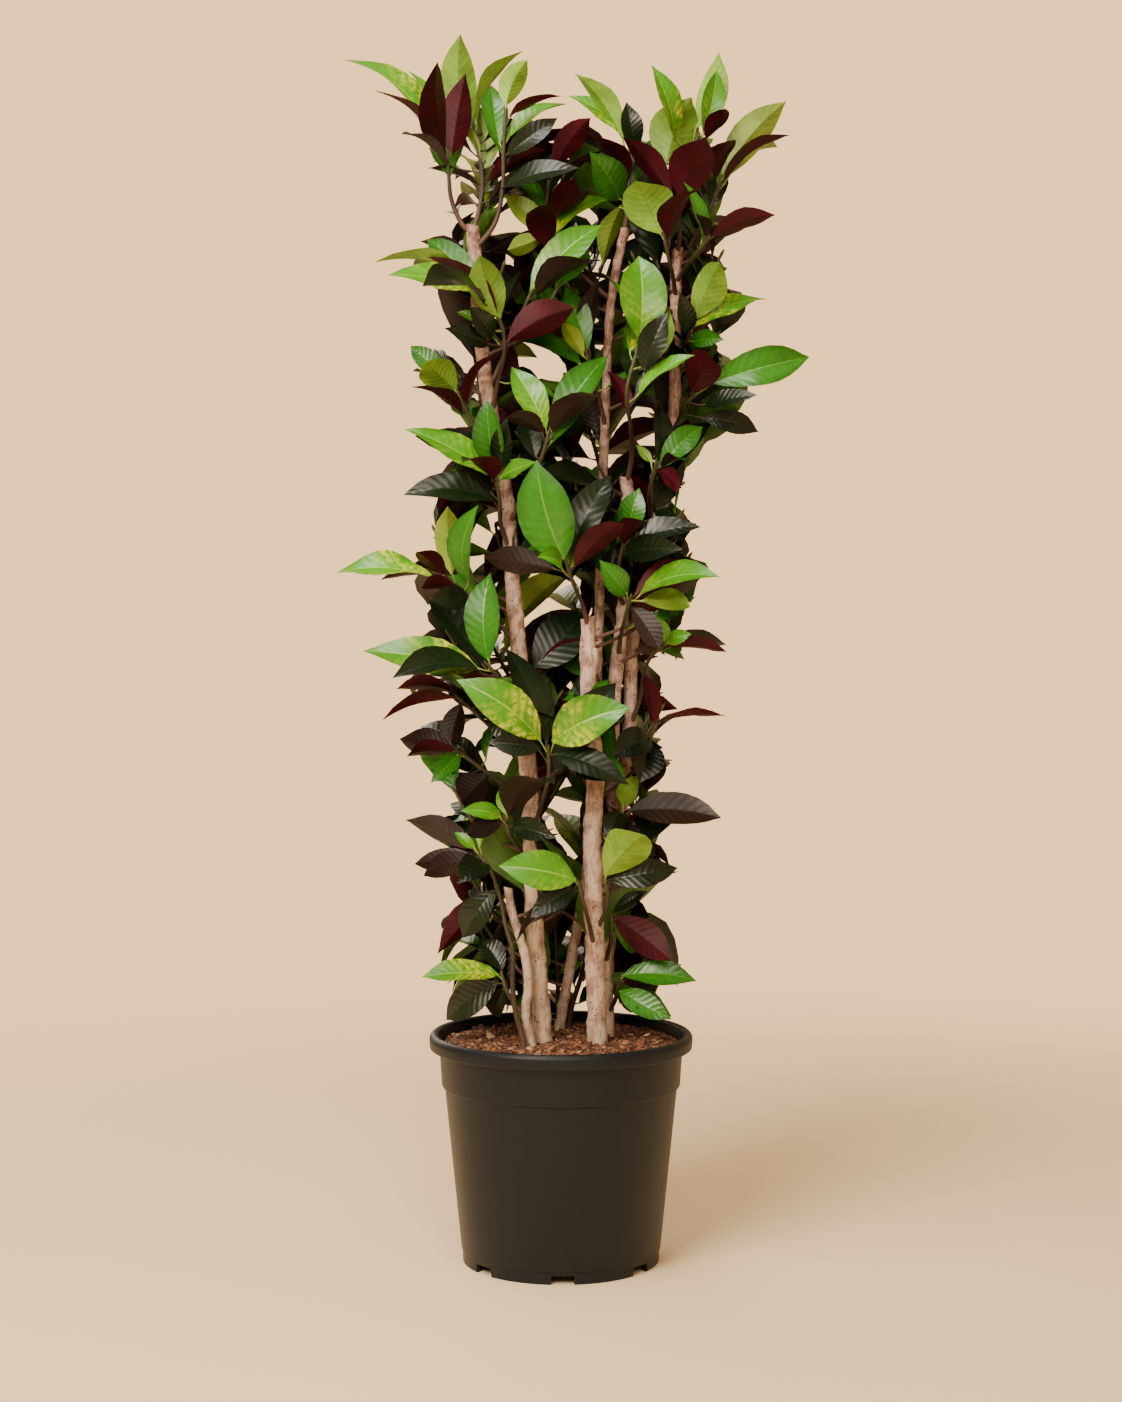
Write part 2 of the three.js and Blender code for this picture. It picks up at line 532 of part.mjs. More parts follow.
// Rings of a round stem along a smooth line, each turned as little as possible from the one before.
function stemRings(curve, radiusAt, count, sides) {
  let across = new THREE.Vector3(1, 0, 0);
  const rings = [];
  for (let r = 0; r < count; r++) {
    const t = r / (count - 1);
    const along = curve.getTangentAt(t);
    across = across.clone().addScaledVector(along, -across.dot(along)).normalize();
    const other = new THREE.Vector3().crossVectors(along, across);
    const centre = curve.getPointAt(t);
    const ring = [];
    for (let s = 0; s < sides; s++) {
      const angle = (2 * Math.PI * s) / sides;
      ring.push(
        centre.clone()
          .addScaledVector(across, radiusAt(t) * Math.cos(angle))
          .addScaledVector(other, radiusAt(t) * Math.sin(angle)),
      );
    }
    rings.push(ring);
  }
  return rings;
}

// A trunk or shoot as a solid that follows its points; grown makes it thicker all over.
function trunkSolid(points, diameters, count, sides, grown = 0) {
  const curve = new THREE.CatmullRomCurve3(points, false, "centripetal");
  const lengths = [0];
  points.slice(1).forEach((p, i) => lengths.push(lengths[i] + p.distanceTo(points[i])));
  const total = lengths[lengths.length - 1];
  const radiusAt = (t) => {
    const far = t * total;
    let i = 0;
    while (i < lengths.length - 2 && lengths[i + 1] < far) i++;
    const share = (far - lengths[i]) / (lengths[i + 1] - lengths[i]);
    return (diameters[i] + (diameters[i + 1] - diameters[i]) * share) / 2 + grown;
  };
  return loft(stemRings(curve, radiusAt, count, sides));
}

const TRUNK_SIDES = 8;
const TRUNK_RING_SPACING = 85;
const SHOOT_SIDES = 4;
const SHOOT_DIAMETER = [6.4, 3.6]; // at the trunk and at the tip
const YOUNG_STEM_DIAMETER = 8; // of a shoot that stands in the soil itself

// The points of a trunk, from its end in the soil to its cut.
function trunkPoints(trunk) {
  const points = trunk.path.map(([across, down, depth]) => seen(across, down, depth));
  const foot = points[0].clone();
  foot.z = SOIL_EDGE - TRUNK_DEPTH;
  const level = points[0].clone();
  level.z = SOIL_EDGE - 10;
  return [foot, level, ...points];
}

function makeTrunk(trunk, grown = 0) {
  const points = trunkPoints(trunk);
  const first = trunk.path[0][3];
  const count = Math.ceil((points[points.length - 1].z - points[0].z) / TRUNK_RING_SPACING);
  const solid = trunkSolid(points, [first, first, ...trunk.path.map((p) => p[3])], count, TRUNK_SIDES, grown);
  const end = points[points.length - 1];
  const slope = THREE.MathUtils.degToRad(trunk.tilt);
  const cut = [-Math.sin(slope), 0, -Math.cos(slope)]; // keeps what lies below the sloping cut
  const level = (end.x * cut[0] + end.z * cut[2]) + 4 - grown;
  const body = solid.trimByPlane(cut, level);
  if (!trunk.fork) return body;
  const fork = trunk.fork.map(([across, down, depth]) => seen(across, down, depth));
  return body.add(trunkSolid(fork, trunk.fork.map((p) => p[3]), 3, TRUNK_SIDES, grown));
}

// The point on a trunk's middle line at a height given as seen.
function onTrunk(trunk, down) {
  const path = trunk.path;
  let i = 0;
  while (i < path.length - 2 && path[i + 1][1] > down) i++;
  const share = (path[i][1] - down) / (path[i][1] - path[i + 1][1]);
  const mix = (n) => path[i][n] + (path[i + 1][n] - path[i][n]) * share;
  return seen(mix(0), down, mix(2));
}

// The half width of a blade at v, 0 at its foot and 1 at its tip, for a width of 1.
function outline(v) {
  return 0.5 * Math.pow(Math.sin(Math.PI * Math.pow(v, 0.95)), 0.85);
}

// A leaf: where its stalk leaves the shoot, the blade's foot and tip, the way its face looks, and its own
// turns and waves drawn from its dice.
function makeLeaf(root, foot, tip, face, width, draw) {
  const along = new THREE.Vector3().subVectors(tip, foot);
  const length = along.length();
  const normal = face.clone().addScaledVector(along, -face.dot(along) / (length * length)).normalize();
  return {
    root, foot, tip, normal, width, length, along,
    arch: 0.07 + 0.07 * draw(), // rise of the blade's middle over its length
    fold: 0.2 + 0.25 * draw(), // of each half up from flat, radians
    twist: 0.7 * (draw() - 0.5),
    sweep: 0.1 * (draw() - 0.5),
    wave: 0.05 * draw(), // of the edge, over the width
    phase: 2 * Math.PI * draw(),
  };
}

// A point of the blade at v along it and s across it, -1 and 1 at the edges, with the normal there.
function onBlade(leaf, v, s) {
  const rise = 4 * v * (1 - v);
  const side = new THREE.Vector3().crossVectors(leaf.along, leaf.normal).normalize();
  const centre = leaf.foot.clone().addScaledVector(leaf.along, v)
    .addScaledVector(leaf.normal, leaf.arch * leaf.length * rise)
    .addScaledVector(side, leaf.sweep * leaf.length * rise);
  const heading = leaf.along.clone()
    .addScaledVector(leaf.normal, 4 * leaf.arch * leaf.length * (1 - 2 * v))
    .addScaledVector(side, 4 * leaf.sweep * leaf.length * (1 - 2 * v)).normalize();
  const up = leaf.normal.clone().addScaledVector(heading, -leaf.normal.dot(heading)).normalize()
    .applyAxisAngle(heading, leaf.twist * (v - 0.4));
  const out = new THREE.Vector3().crossVectors(heading, up);
  const half = leaf.width * outline(v);
  const ripple = leaf.wave * leaf.width * Math.sin(9 * v + leaf.phase + 2 * s) * 2 * outline(v) * s * s;
  const point = centre.addScaledVector(out, s * half * Math.cos(leaf.fold))
    .addScaledVector(up, Math.abs(s) * half * Math.sin(leaf.fold) + ripple);
  return { point, up, out };
}

// Points all over a leaf from v on, and on its stalk.
function leafSamples(leaf, from = 0) {
  const points = [];
  const steps = Math.ceil(leaf.length / SAMPLE);
  for (let i = Math.ceil(from * steps); i <= steps; i++) {
    const v = i / steps;
    const across = Math.max(1, Math.ceil((leaf.width * outline(v)) / SAMPLE));
    for (let j = -across; j <= across; j++) points.push(onBlade(leaf, v, j / across).point);
  }
  if (from > 0) return points;
  const stalk = leaf.root.distanceTo(leaf.foot);
  for (let far = 2 * SAMPLE; far < stalk; far += SAMPLE)
    points.push(leaf.root.clone().lerp(leaf.foot, far / stalk));
  return points;
}

// The solid of a leaf: a four-cornered stalk that opens into a blade, thickest at its rib.
function leafSolid(leaf) {
  const stations = leaf.length > LONG_BLADE ? BLADE_STATIONS : SHORT_STATIONS;
  const { out: bladeOut } = onBlade(leaf, stations[0], 0);
  const stalkRing = (centre, heading) => {
    const out = bladeOut.clone().addScaledVector(heading, -bladeOut.dot(heading)).normalize();
    const up = new THREE.Vector3().crossVectors(out, heading);
    return [[out, -1], [up, 1], [out, 1], [up, -1]]
      .map(([side, sign]) => centre.clone().addScaledVector(side, sign * STALK_HALF));
  };
  const toFoot = leaf.foot.clone().sub(leaf.root);
  const toBlade = onBlade(leaf, stations[0], 0).point.sub(leaf.root).normalize();
  const rings = [];
  if (toFoot.length() > SHORT_STALK) {
    const onward = onBlade(leaf, stations[0], 0).point.sub(leaf.foot).normalize();
    toFoot.normalize();
    rings.push(stalkRing(leaf.root, toFoot), stalkRing(leaf.foot, onward.add(toFoot).normalize()));
  } else rings.push(stalkRing(leaf.root, toBlade));
  for (const v of stations) {
    const rib = onBlade(leaf, v, 0);
    rings.push([
      onBlade(leaf, v, -1).point, rib.point.clone().addScaledVector(rib.up, RIB_HALF),
      onBlade(leaf, v, 1).point, rib.point.clone().addScaledVector(rib.up, -RIB_HALF),
    ]);
  }
  return loft(rings, leaf.tip);
}

// The nearest point of a shoot to a place as seen from the front, with the shoot's heading there.
function onShoot(curve, across, down, back) {
  let best = Infinity, at = 0;
  for (let i = 10; i <= 60; i++) {
    const p = curve.getPointAt(i / 60);
    const scale = STEP * (1 + p.y / EYE_AWAY);
    const off = Math.hypot(p.x / scale + AXIS_ACROSS - across, EYE_DOWN - (p.z - EYE_HEIGHT) / scale - down);
    if (off < best) [best, at] = [off, i / 60];
  }
  at = Math.max(0.15, Math.min(at, 1 - ROOT_INSET / curve.getLength()) - back / curve.getLength());
  return { point: curve.getPointAt(at), heading: curve.getTangentAt(at) };
}

// A leaf as seen from the front; past shifts its tip in depth until it finds room.
function seenLeaf(curve, row, past, back, draw) {
  const [footAcross, footDown, tipAcross, tipDown, reach, seenWidth, face] = row;
  const at = onShoot(curve, footAcross, footDown, back);
  const foot = seen(footAcross, footDown, at.point.y + (reach + past) * 0.08);
  const tip = seen(tipAcross, tipDown, at.point.y + reach + past);
  const along = tip.clone().sub(foot);
  const shown = seenWidth * STEP * (1 + at.point.y / EYE_AWAY);
  const width = Math.max(shown * 1.03, LEAF_SLIMNESS * along.length());
  // The face looks to the eye by as much as its width is seen, and otherwise up the shoot.
  const toEye = EYE.clone().sub(foot);
  toEye.addScaledVector(along, -toEye.dot(along) / along.lengthSq()).normalize();
  const side = new THREE.Vector3().crossVectors(along, toEye).normalize();
  if (side.dot(at.heading) < 0) side.negate();
  const shownShare = Math.min(1, shown / width);
  const normal = toEye.multiplyScalar(face * shownShare)
    .addScaledVector(side, Math.sqrt(1 - shownShare ** 2));
  return makeLeaf(at.point, foot, tip, normal, width, draw);
}

// Leaves by rule: a golden turn apart around the shoot, the lower ones spread wide, the upper ones steep.
const TURN_SWINGS = [0, 25, -25, 50, -50, 80, -80, 110, -110, 145, -145, 180];
const SPREAD_SWINGS = [0, -16, 16];
const SIDE_REACH = [[300, -100, 95], [600, -120, 115], [1000, -150, 165]]; // from a height: left, right

function ruledLeaf(curve, index, count, turnSwing, spreadSwing, draw) {
  const step = (index + 1) / (count + 1);
  const t = 0.45 + 0.53 * step;
  const root = curve.getPointAt(t);
  const heading = curve.getTangentAt(t);
  const turn = THREE.MathUtils.degToRad(GOLDEN_TURN * index + 360 * draw() + turnSwing);
  const spread = THREE.MathUtils.degToRad(95 - 45 * step + 14 * (draw() - 0.5) + spreadSwing);
  const reference = new THREE.Vector3(1, 0, 0).addScaledVector(heading, -heading.x).normalize();
  const outward = reference.applyAxisAngle(heading, turn);
  const direction = heading.clone().multiplyScalar(Math.cos(spread))
    .addScaledVector(outward, Math.sin(spread));
  const length = LEAF_LENGTH[0] + (LEAF_LENGTH[1] - LEAF_LENGTH[0]) * draw();
  const foot = root.clone().addScaledVector(direction, STALK_LENGTH);
  const tip = foot.clone().addScaledVector(direction, length);
  const leaf = makeLeaf(root, foot, tip, heading, LEAF_SLIMNESS * length * (0.9 + 0.3 * draw()), draw);
  return { leaf, direction };
}

function inReach(leaf, direction) {
  if (direction.y < 0.1 || leaf.tip.z < SOIL_CROWN + 15) return false;
  const band = SIDE_REACH.filter(([height]) => leaf.tip.z > height).pop() ?? SIDE_REACH[0];
  return leaf.tip.x > band[1] && leaf.tip.x < band[2];
}

// The pot: one turned body with a raised floor, slots in its foot ring and drain holes in its floor.
function turned(profile, sides) {
  const geometry = new THREE.LatheGeometry(profile.map(([r, z]) => new THREE.Vector2(r, z)), sides);
  geometry.rotateX(Math.PI / 2);
  geometry.deleteAttribute("normal");
  geometry.deleteAttribute("uv");
  return solidFrom(geometry);
}

function solidFrom(geometry) {
  const merged = mergeVertices(geometry, 1e-4);
  return solidOf(Array.from(merged.attributes.position.array), Array.from(merged.index.array));
}

function block(width, depth, height, x, y, z, turn) {
  const geometry = new THREE.BoxGeometry(width, depth, height).translate(x, y, z).rotateZ(turn);
  geometry.deleteAttribute("normal");
  geometry.deleteAttribute("uv");
  return solidFrom(geometry);
}

function makePot() {
  const wallFoot = FOOT_RADIUS + 1.6, wallTop = 141, bandFoot = 144.5, bandTop = 147.5;
  const floorUnder = FLOOR_TOP - 2.5;
  const profile = [
    [0, 0], [PAD_RADIUS, 0], [PAD_RADIUS + 4, floorUnder], [FOOT_RADIUS - 5.5, floorUnder],
    [FOOT_RADIUS - 4, 0], [FOOT_RADIUS, 0], [FOOT_RADIUS, FOOT_HEIGHT], [wallFoot, FOOT_HEIGHT + 1],
    [wallTop, BAND_LOW - 2], [bandFoot, BAND_LOW], [bandTop, POT_HEIGHT - 19],
    [RIM_RADIUS - 1, POT_HEIGHT - 18.5], [RIM_RADIUS, POT_HEIGHT - 5], [RIM_RADIUS - 3, POT_HEIGHT - 0.8],
    [RIM_RADIUS - 6, POT_HEIGHT], [MOUTH_RADIUS + 1, POT_HEIGHT - 1.5], [bandTop - WALL, POT_HEIGHT - 19],
    ...potInside(),
  ];
  let pot = turned(profile, POT_SIDES);
  for (let i = 0; i < SLOT.count; i++) {
    const turn = THREE.MathUtils.degToRad(-90 + SLOT.turn + (360 * i) / SLOT.count);
    pot = pot.subtract(block(14, SLOT.width, SLOT.height + 1, FOOT_RADIUS, 0, (SLOT.height - 1) / 2, turn));
  }
  for (let i = 0; i < DRAIN.count; i++) {
    const turn = (2 * Math.PI * (i + 0.5)) / DRAIN.count;
    const hole = new THREE.CylinderGeometry(DRAIN.diameter / 2, DRAIN.diameter / 2, 6, DRAIN.sides)
      .rotateX(Math.PI / 2).translate(DRAIN.circle, 0, FLOOR_TOP - 1).rotateZ(turn);
    hole.deleteAttribute("normal");
    hole.deleteAttribute("uv");
    pot = pot.subtract(solidFrom(hole));
  }
  return pot;
}

// The inside of the pot under its rim, down to the middle of the floor; out moves it into the pot.
function potInside(out = 0) {
  const up = out === 0 ? 0 : GAP;
  return [
    [142.5 - out, BAND_LOW + 2], [139 - out, BAND_LOW - 3], [118 - out, FLOOR_TOP + up],
    [PAD_RADIUS + 2.5 - out, FLOOR_TOP + up], [PAD_RADIUS - 1.5 - out, 2.5 + up], [0, 2.5 + up],
  ];
}

function makeSoil(holes) {
  const inside = potInside(GAP);
  const edge = 145.6 - GAP;
  const profile = [
    ...inside.reverse(), [edge - 0.5, SOIL_EDGE - 3], [edge - 4, SOIL_EDGE], [70, SOIL_CROWN - 1.5],
    [0, SOIL_CROWN],
  ];
  return holes.reduce((soil, hole) => soil.subtract(hole), turned(profile, POT_SIDES));
}

// Whether no two edges of a solid lie in the same place.
function edgesApart(solid) {
  const { vertProperties, triVerts } = solid.getMesh();
  const place = (i) => [0, 1, 2].map((n) => Math.round(vertProperties[3 * i + n] * 5000)).join();
  const seenEdges = new Set();
  for (let i = 0; i < triVerts.length; i++) {
    const edge = place(triVerts[i]) + " " + place(triVerts[i % 3 === 2 ? i - 2 : i + 1]);
    if (seenEdges.has(edge) || place(triVerts[i]) === edge.split(" ")[1]) return false;
    seenEdges.add(edge);
  }
  return true;
}

// Without the slivers that fusing leaves behind, and as one body.
function tidied(solid) {
  for (const size of SLIVERS) {
    const bodies = solid.asOriginal().simplify(size).decompose();
    const body = bodies.reduce((most, one) => (one.volume() > most.volume() ? one : most));
    if (edgesApart(body)) return body;
  }
  return solid;
}

// Everything is put together here: trunks first, then every shoot, then the leaves where there is room.
const solids = {};
const colours = {};
const owners = {};
const grownTrunks = {};
Object.entries(TRUNKS).forEach(([name, trunk], i) => {
  owners[name] = i + 1;
  solids[name] = makeTrunk(trunk);
  colours[name] = "#9a7455";
  grownTrunks[name] = makeTrunk(trunk, GAP);
});

// Fills the map round a line of points with circles of the given diameter.
function fillStem(curve, diameter, owner) {
  const length = curve.getLength();
  const count = Math.ceil(length / SAMPLE);
  for (const ring of stemRings(curve, () => diameter / 2, count, Math.ceil(diameter))) fillRoom(ring, owner);
}

for (const [name, trunk] of Object.entries(TRUNKS)) {
  const curve = new THREE.CatmullRomCurve3(trunkPoints(trunk), false, "centripetal");
  fillStem(curve, trunk.path[0][3], owners[name]);
}

const POT_OWNER = 250;
for (let turn = 0; turn < 360; turn += 1)
  for (let radius = 0; radius <= RIM_RADIUS; radius += 4) {
    const angle = THREE.MathUtils.degToRad(turn);
    const high = radius > MOUTH_RADIUS ? POT_HEIGHT : SOIL_CROWN;
    fillRoom([new THREE.Vector3(radius * Math.cos(angle), radius * Math.sin(angle), high)], POT_OWNER);
  }

// Shoots, with where each starts on its trunk or in the soil.
const shoots = {};
Object.entries(SPRAYS).forEach(([name, spray], i) => {
  owners[name] = i + 20;
  const inSoil = spray.from[0] === "soil";
  const places = spray.path.map(([across, down, depth]) => seen(across, down, depth));
  if (inSoil) {
    const level = seen(...spray.from[1]);
    const foot = level.clone();
    foot.z = SOIL_EDGE - SHOOT_DEPTH;
    places.unshift(foot, level);
  } else places.unshift(onTrunk(TRUNKS[spray.from[0]], spray.from[1]));
  const curve = new THREE.CatmullRomCurve3(places, false, "centripetal");
  const thick = inSoil ? YOUNG_STEM_DIAMETER : SHOOT_DIAMETER[0];
  const count = Math.max(3, Math.ceil(curve.getLength() / 32));
  const make = (grown) => {
    const radiusAt = (t) => (thick + (SHOOT_DIAMETER[1] - thick) * t) / 2 + grown;
    return loft(stemRings(curve, radiusAt, inSoil ? Math.ceil(count / 2) : count, SHOOT_SIDES));
  };
  shoots[name] = { curve, solid: make(0), hole: inSoil ? make(GAP) : null };
  fillStem(curve, thick, owners[name]);
});

// The leaves that are seen from the front come first. Each takes the first pose that has room, best of all
// one that is clear of its own shoot's other leaves too.
const TIP_SHIFTS = [0, -12, 12, -24, 24, -36, 36, -50, 50, -66, 66, -84, 84, -104, 104];
const leaves = {};
Object.entries(SPRAYS).forEach(([name, spray], number) => {
  const owner = owners[name];
  leaves[name] = [];
  spray.leaves.forEach((row, i) => {
    const seed = 1000 * (number + 1) + i, back = ROOT_SPACING * (i % 4);
    const poses = TIP_SHIFTS.map((past) => seenLeaf(shoots[name].curve, row, past, back, dice(seed)));
    const roomy = poses.filter((leaf) => roomIsFree(leafSamples(leaf), owner));
    const leaf = roomy.find((one) => clearOfOwn(one, owner)) ?? roomy[0];
    fillRoom(leafSamples(leaf), owner);
    leaves[name].push({ ...leaf, age: row[7] });
  });
});

// The leaves by rule follow, each only where one of its poses has room.
const SWINGS = TURN_SWINGS.flatMap((turn) => SPREAD_SWINGS.map((spread) => [turn, spread]));
Object.entries(SPRAYS).forEach(([name, spray], number) => {
  const owner = owners[name];
  for (let i = 0; i < spray.more; i++) {
    const seed = 1000 * (number + 1) + 500 + i;
    for (const [turn, spread] of SWINGS) {
      const { leaf, direction } = ruledLeaf(shoots[name].curve, i, spray.more, turn, spread, dice(seed));
      if (!inReach(leaf, direction)) continue;
      const points = leafSamples(leaf);
      if (!roomIsFree(points, owner) || !clearOfOwn(leaf, owner)) continue;
      fillRoom(points, owner);
      leaves[name].push({ ...leaf, age: [DARK, WINE, GREEN][(i + number) % 3] });
      break;
    }
  }
});

for (const [name, spray] of Object.entries(SPRAYS)) {
  let solid = shoots[name].solid;
  for (const leaf of leaves[name]) solid = solid.add(leafSolid(leaf));
  if (spray.from[0] !== "soil") solid = solid.subtract(grownTrunks[spray.from[0]]);
  solids[name] = tidied(solid);
  const ages = leaves[name].map((leaf) => leaf.age);
  const countOf = (age) => ages.filter((one) => one === age).length;
  const most = [FRESH, STRIPED, GREEN, DARK, WINE]
    .reduce((best, age) => (countOf(age) > countOf(best) ? age : best));
  colours[name] = LEAF_COLOURS[most];
}

solids.pot = makePot();
colours.pot = "#2a2a2c";
const holes = [...Object.values(grownTrunks), ...Object.values(shoots).map((s) => s.hole).filter(Boolean)];
solids.soil = makeSoil(holes);
colours.soil = "#6b4433";

const root = new THREE.Group();
root.name = "potted_croton";
for (const [name, solid] of Object.entries(solids)) {
  const { vertProperties, triVerts } = solid.getMesh();
  const geometry = new THREE.BufferGeometry();
  geometry.setAttribute("position", new THREE.BufferAttribute(vertProperties, 3));
  geometry.setIndex(new THREE.BufferAttribute(triVerts, 1));
  geometry.computeVertexNormals();
  const leafy = name.startsWith("spray");
  const material = new THREE.MeshStandardMaterial({
    color: colours[name], roughness: leafy ? 0.35 : name === "pot" ? 0.5 : 0.9, metalness: 0,
  });
  const mesh = new THREE.Mesh(geometry, material);
  mesh.name = name;
  root.add(mesh);
}
export default root;
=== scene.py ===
import bpy
import numpy as np
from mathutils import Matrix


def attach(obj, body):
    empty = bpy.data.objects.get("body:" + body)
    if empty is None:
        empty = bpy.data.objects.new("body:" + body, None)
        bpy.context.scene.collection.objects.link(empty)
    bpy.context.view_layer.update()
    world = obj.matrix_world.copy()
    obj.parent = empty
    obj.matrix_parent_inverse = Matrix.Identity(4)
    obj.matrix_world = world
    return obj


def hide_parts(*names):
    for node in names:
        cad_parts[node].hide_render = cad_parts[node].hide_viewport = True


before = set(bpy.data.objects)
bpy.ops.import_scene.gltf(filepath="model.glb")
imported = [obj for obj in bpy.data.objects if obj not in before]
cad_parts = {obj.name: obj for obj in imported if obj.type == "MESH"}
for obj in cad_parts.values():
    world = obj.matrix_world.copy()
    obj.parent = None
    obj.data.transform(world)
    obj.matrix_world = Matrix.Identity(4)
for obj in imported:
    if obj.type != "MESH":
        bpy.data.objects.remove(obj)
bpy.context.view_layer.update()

MM = 0.001


# ---- The studio: a pale floor, a large softbox at the upper left, weaker ones in front, above and behind.
# The camera stands level in front, 2916 mm from the pot's axis and 787 mm up, and its frame reaches
# 91 px further down than up, as the photograph's does.
PHOTO_WIDTH, PHOTO_HEIGHT = 1122, 1402
FOCUS_PX = 2400
EYE_AWAY, EYE_HEIGHT = 2916, 787
EYE_ACROSS, EYE_DOWN = 561.5, 610


def linear(colour):
    """The linear colour of an sRGB hex value: each channel is divided by 12.92 where dark, and otherwise
    has 0.055 added and is raised to the power 2.4."""
    channels = np.array([int(colour[i:i + 2], 16) for i in (1, 3, 5)]) / 255
    dark = channels / 12.92
    bright = ((channels + 0.055) / 1.055) ** 2.4
    return (*np.where(channels <= 0.04045, dark, bright).tolist(), 1.0)


def add(tree, kind, inputs=(), **settings):
    """One node with its settings; each input takes a value, or is joined to another node's output."""
    made = tree.nodes.new(kind)
    for name, value in settings.items():
        setattr(made, name, value)
    for socket, value in dict(inputs).items():
        if isinstance(value, bpy.types.NodeSocket):
            tree.links.new(value, made.inputs[socket])
        else:
            made.inputs[socket].default_value = value
    return made


def new_material(name):
    """An empty material with its surface shader: (material, node tree, shader)."""
    material = bpy.data.materials.new(name)
    material.use_nodes = True
    tree = material.node_tree
    return material, tree, tree.nodes["Principled BSDF"]


def solid_of(name, points, faces, material):
    """A mesh object of these points (mm) and faces (corner numbers, any count), smooth, with one material."""
    mesh = bpy.data.meshes.new(name)
    mesh.from_pydata(np.asarray(points) * MM, [], faces)
    mesh.shade_smooth()
    mesh.materials.append(material)
    made = bpy.data.objects.new(name, mesh)
    bpy.context.scene.collection.objects.link(made)
    return made


camera = bpy.data.cameras.new("camera")
camera.sensor_width = 36
camera.lens = camera.sensor_width * FOCUS_PX / PHOTO_HEIGHT
camera.shift_y = (EYE_DOWN - PHOTO_HEIGHT / 2) / PHOTO_HEIGHT
eye = bpy.data.objects.new("camera", camera)
eye.location = (0, -EYE_AWAY * MM, EYE_HEIGHT * MM)
eye.rotation_euler = (np.pi / 2, 0, 0)
bpy.context.scene.collection.objects.link(eye)
bpy.context.scene.camera = eye

for name, place, aim, size, power, tint in (
    ("softbox_left", (-1.5, -2.6, 2.5), (0, 0, 0.8), 1.7, 165, "#fff1dc"),
    ("softbox_front", (0.4, -3.4, 2.3), (0, 0, 0.8), 1.3, 45, "#fff4e4"),
    ("softbox_above", (-0.5, -0.8, 3.3), (0, 0, 0.7), 1.0, 45, "#fffaf2"),
    ("softbox_back", (-1.3, 2.5, 1.9), (0, 0, 0.8), 2.2, 44, "#fff6ea"),
):
    lamp = bpy.data.lights.new(name, "AREA")
    lamp.shape, lamp.size, lamp.energy, lamp.color = "SQUARE", size, power, linear(tint)[:3]
    box = bpy.data.objects.new(name, lamp)
    box.location = place
    way = np.subtract(aim, place)
    pitch = np.arctan2(np.hypot(way[0], way[1]), -way[2])
    box.rotation_euler = (pitch, 0, np.arctan2(way[0], -way[1]) + np.pi)
    bpy.context.scene.collection.objects.link(box)

# The room's warm wall is brighter to look at than the light that it gives back.
ROOM_TONE, ROOM_SHOWN, ROOM_LIGHT = "#f4c58a", 2.25, 0.7
room = bpy.data.worlds.new("room")
room.use_nodes = True
glow = room.node_tree.nodes["Background"]
glow.inputs["Color"].default_value = linear(ROOM_TONE)
looked_at = add(room.node_tree, "ShaderNodeLightPath").outputs["Is Camera Ray"]
strength = add(room.node_tree, "ShaderNodeMapRange",
               {"Value": looked_at, "To Min": ROOM_LIGHT, "To Max": ROOM_SHOWN})
room.node_tree.links.new(strength.outputs[0], glow.inputs["Strength"])
bpy.context.scene.world = room

# Pale beige floor: matt, so that only the pot's soft shadow shows on it. Far out it passes into the tone of
# the wall, as a studio's paper sweep does, so that no horizon shows.
SWEEP_START, SWEEP_END = 800, 2400  # distance from the pot's axis
FLOOR_REACH = 14000
floor_paint, tree, shader = new_material("pale_floor")
shader.inputs["Base Color"].default_value = linear("#f3dcb6")
shader.inputs["Roughness"].default_value = 0.85
place = add(tree, "ShaderNodeTexCoord").outputs["Object"]
out = add(tree, "ShaderNodeVectorMath", {0: place}, operation="LENGTH").outputs["Value"]
share = add(tree, "ShaderNodeMapRange",
            {"Value": out, "From Min": SWEEP_START * MM, "From Max": SWEEP_END * MM},
            interpolation_type="SMOOTHSTEP").outputs[0]
looked_at = add(tree, "ShaderNodeLightPath").outputs["Is Camera Ray"]
strength = add(tree, "ShaderNodeMapRange",
               {"Value": looked_at, "To Min": ROOM_LIGHT, "To Max": ROOM_SHOWN}).outputs[0]
wall = add(tree, "ShaderNodeEmission", {"Color": linear(ROOM_TONE), "Strength": strength}).outputs[0]
sweep = add(tree, "ShaderNodeMixShader", {0: share, 1: shader.outputs[0], 2: wall}).outputs[0]
tree.links.new(sweep, tree.nodes["Material Output"].inputs["Surface"])
corners = [(-FLOOR_REACH, -FLOOR_REACH, 0), (FLOOR_REACH, -FLOOR_REACH, 0), (FLOOR_REACH, FLOOR_REACH, 0),
           (-FLOOR_REACH, FLOOR_REACH, 0)]
solid_of("floor", corners, [(0, 1, 2, 3)], floor_paint)


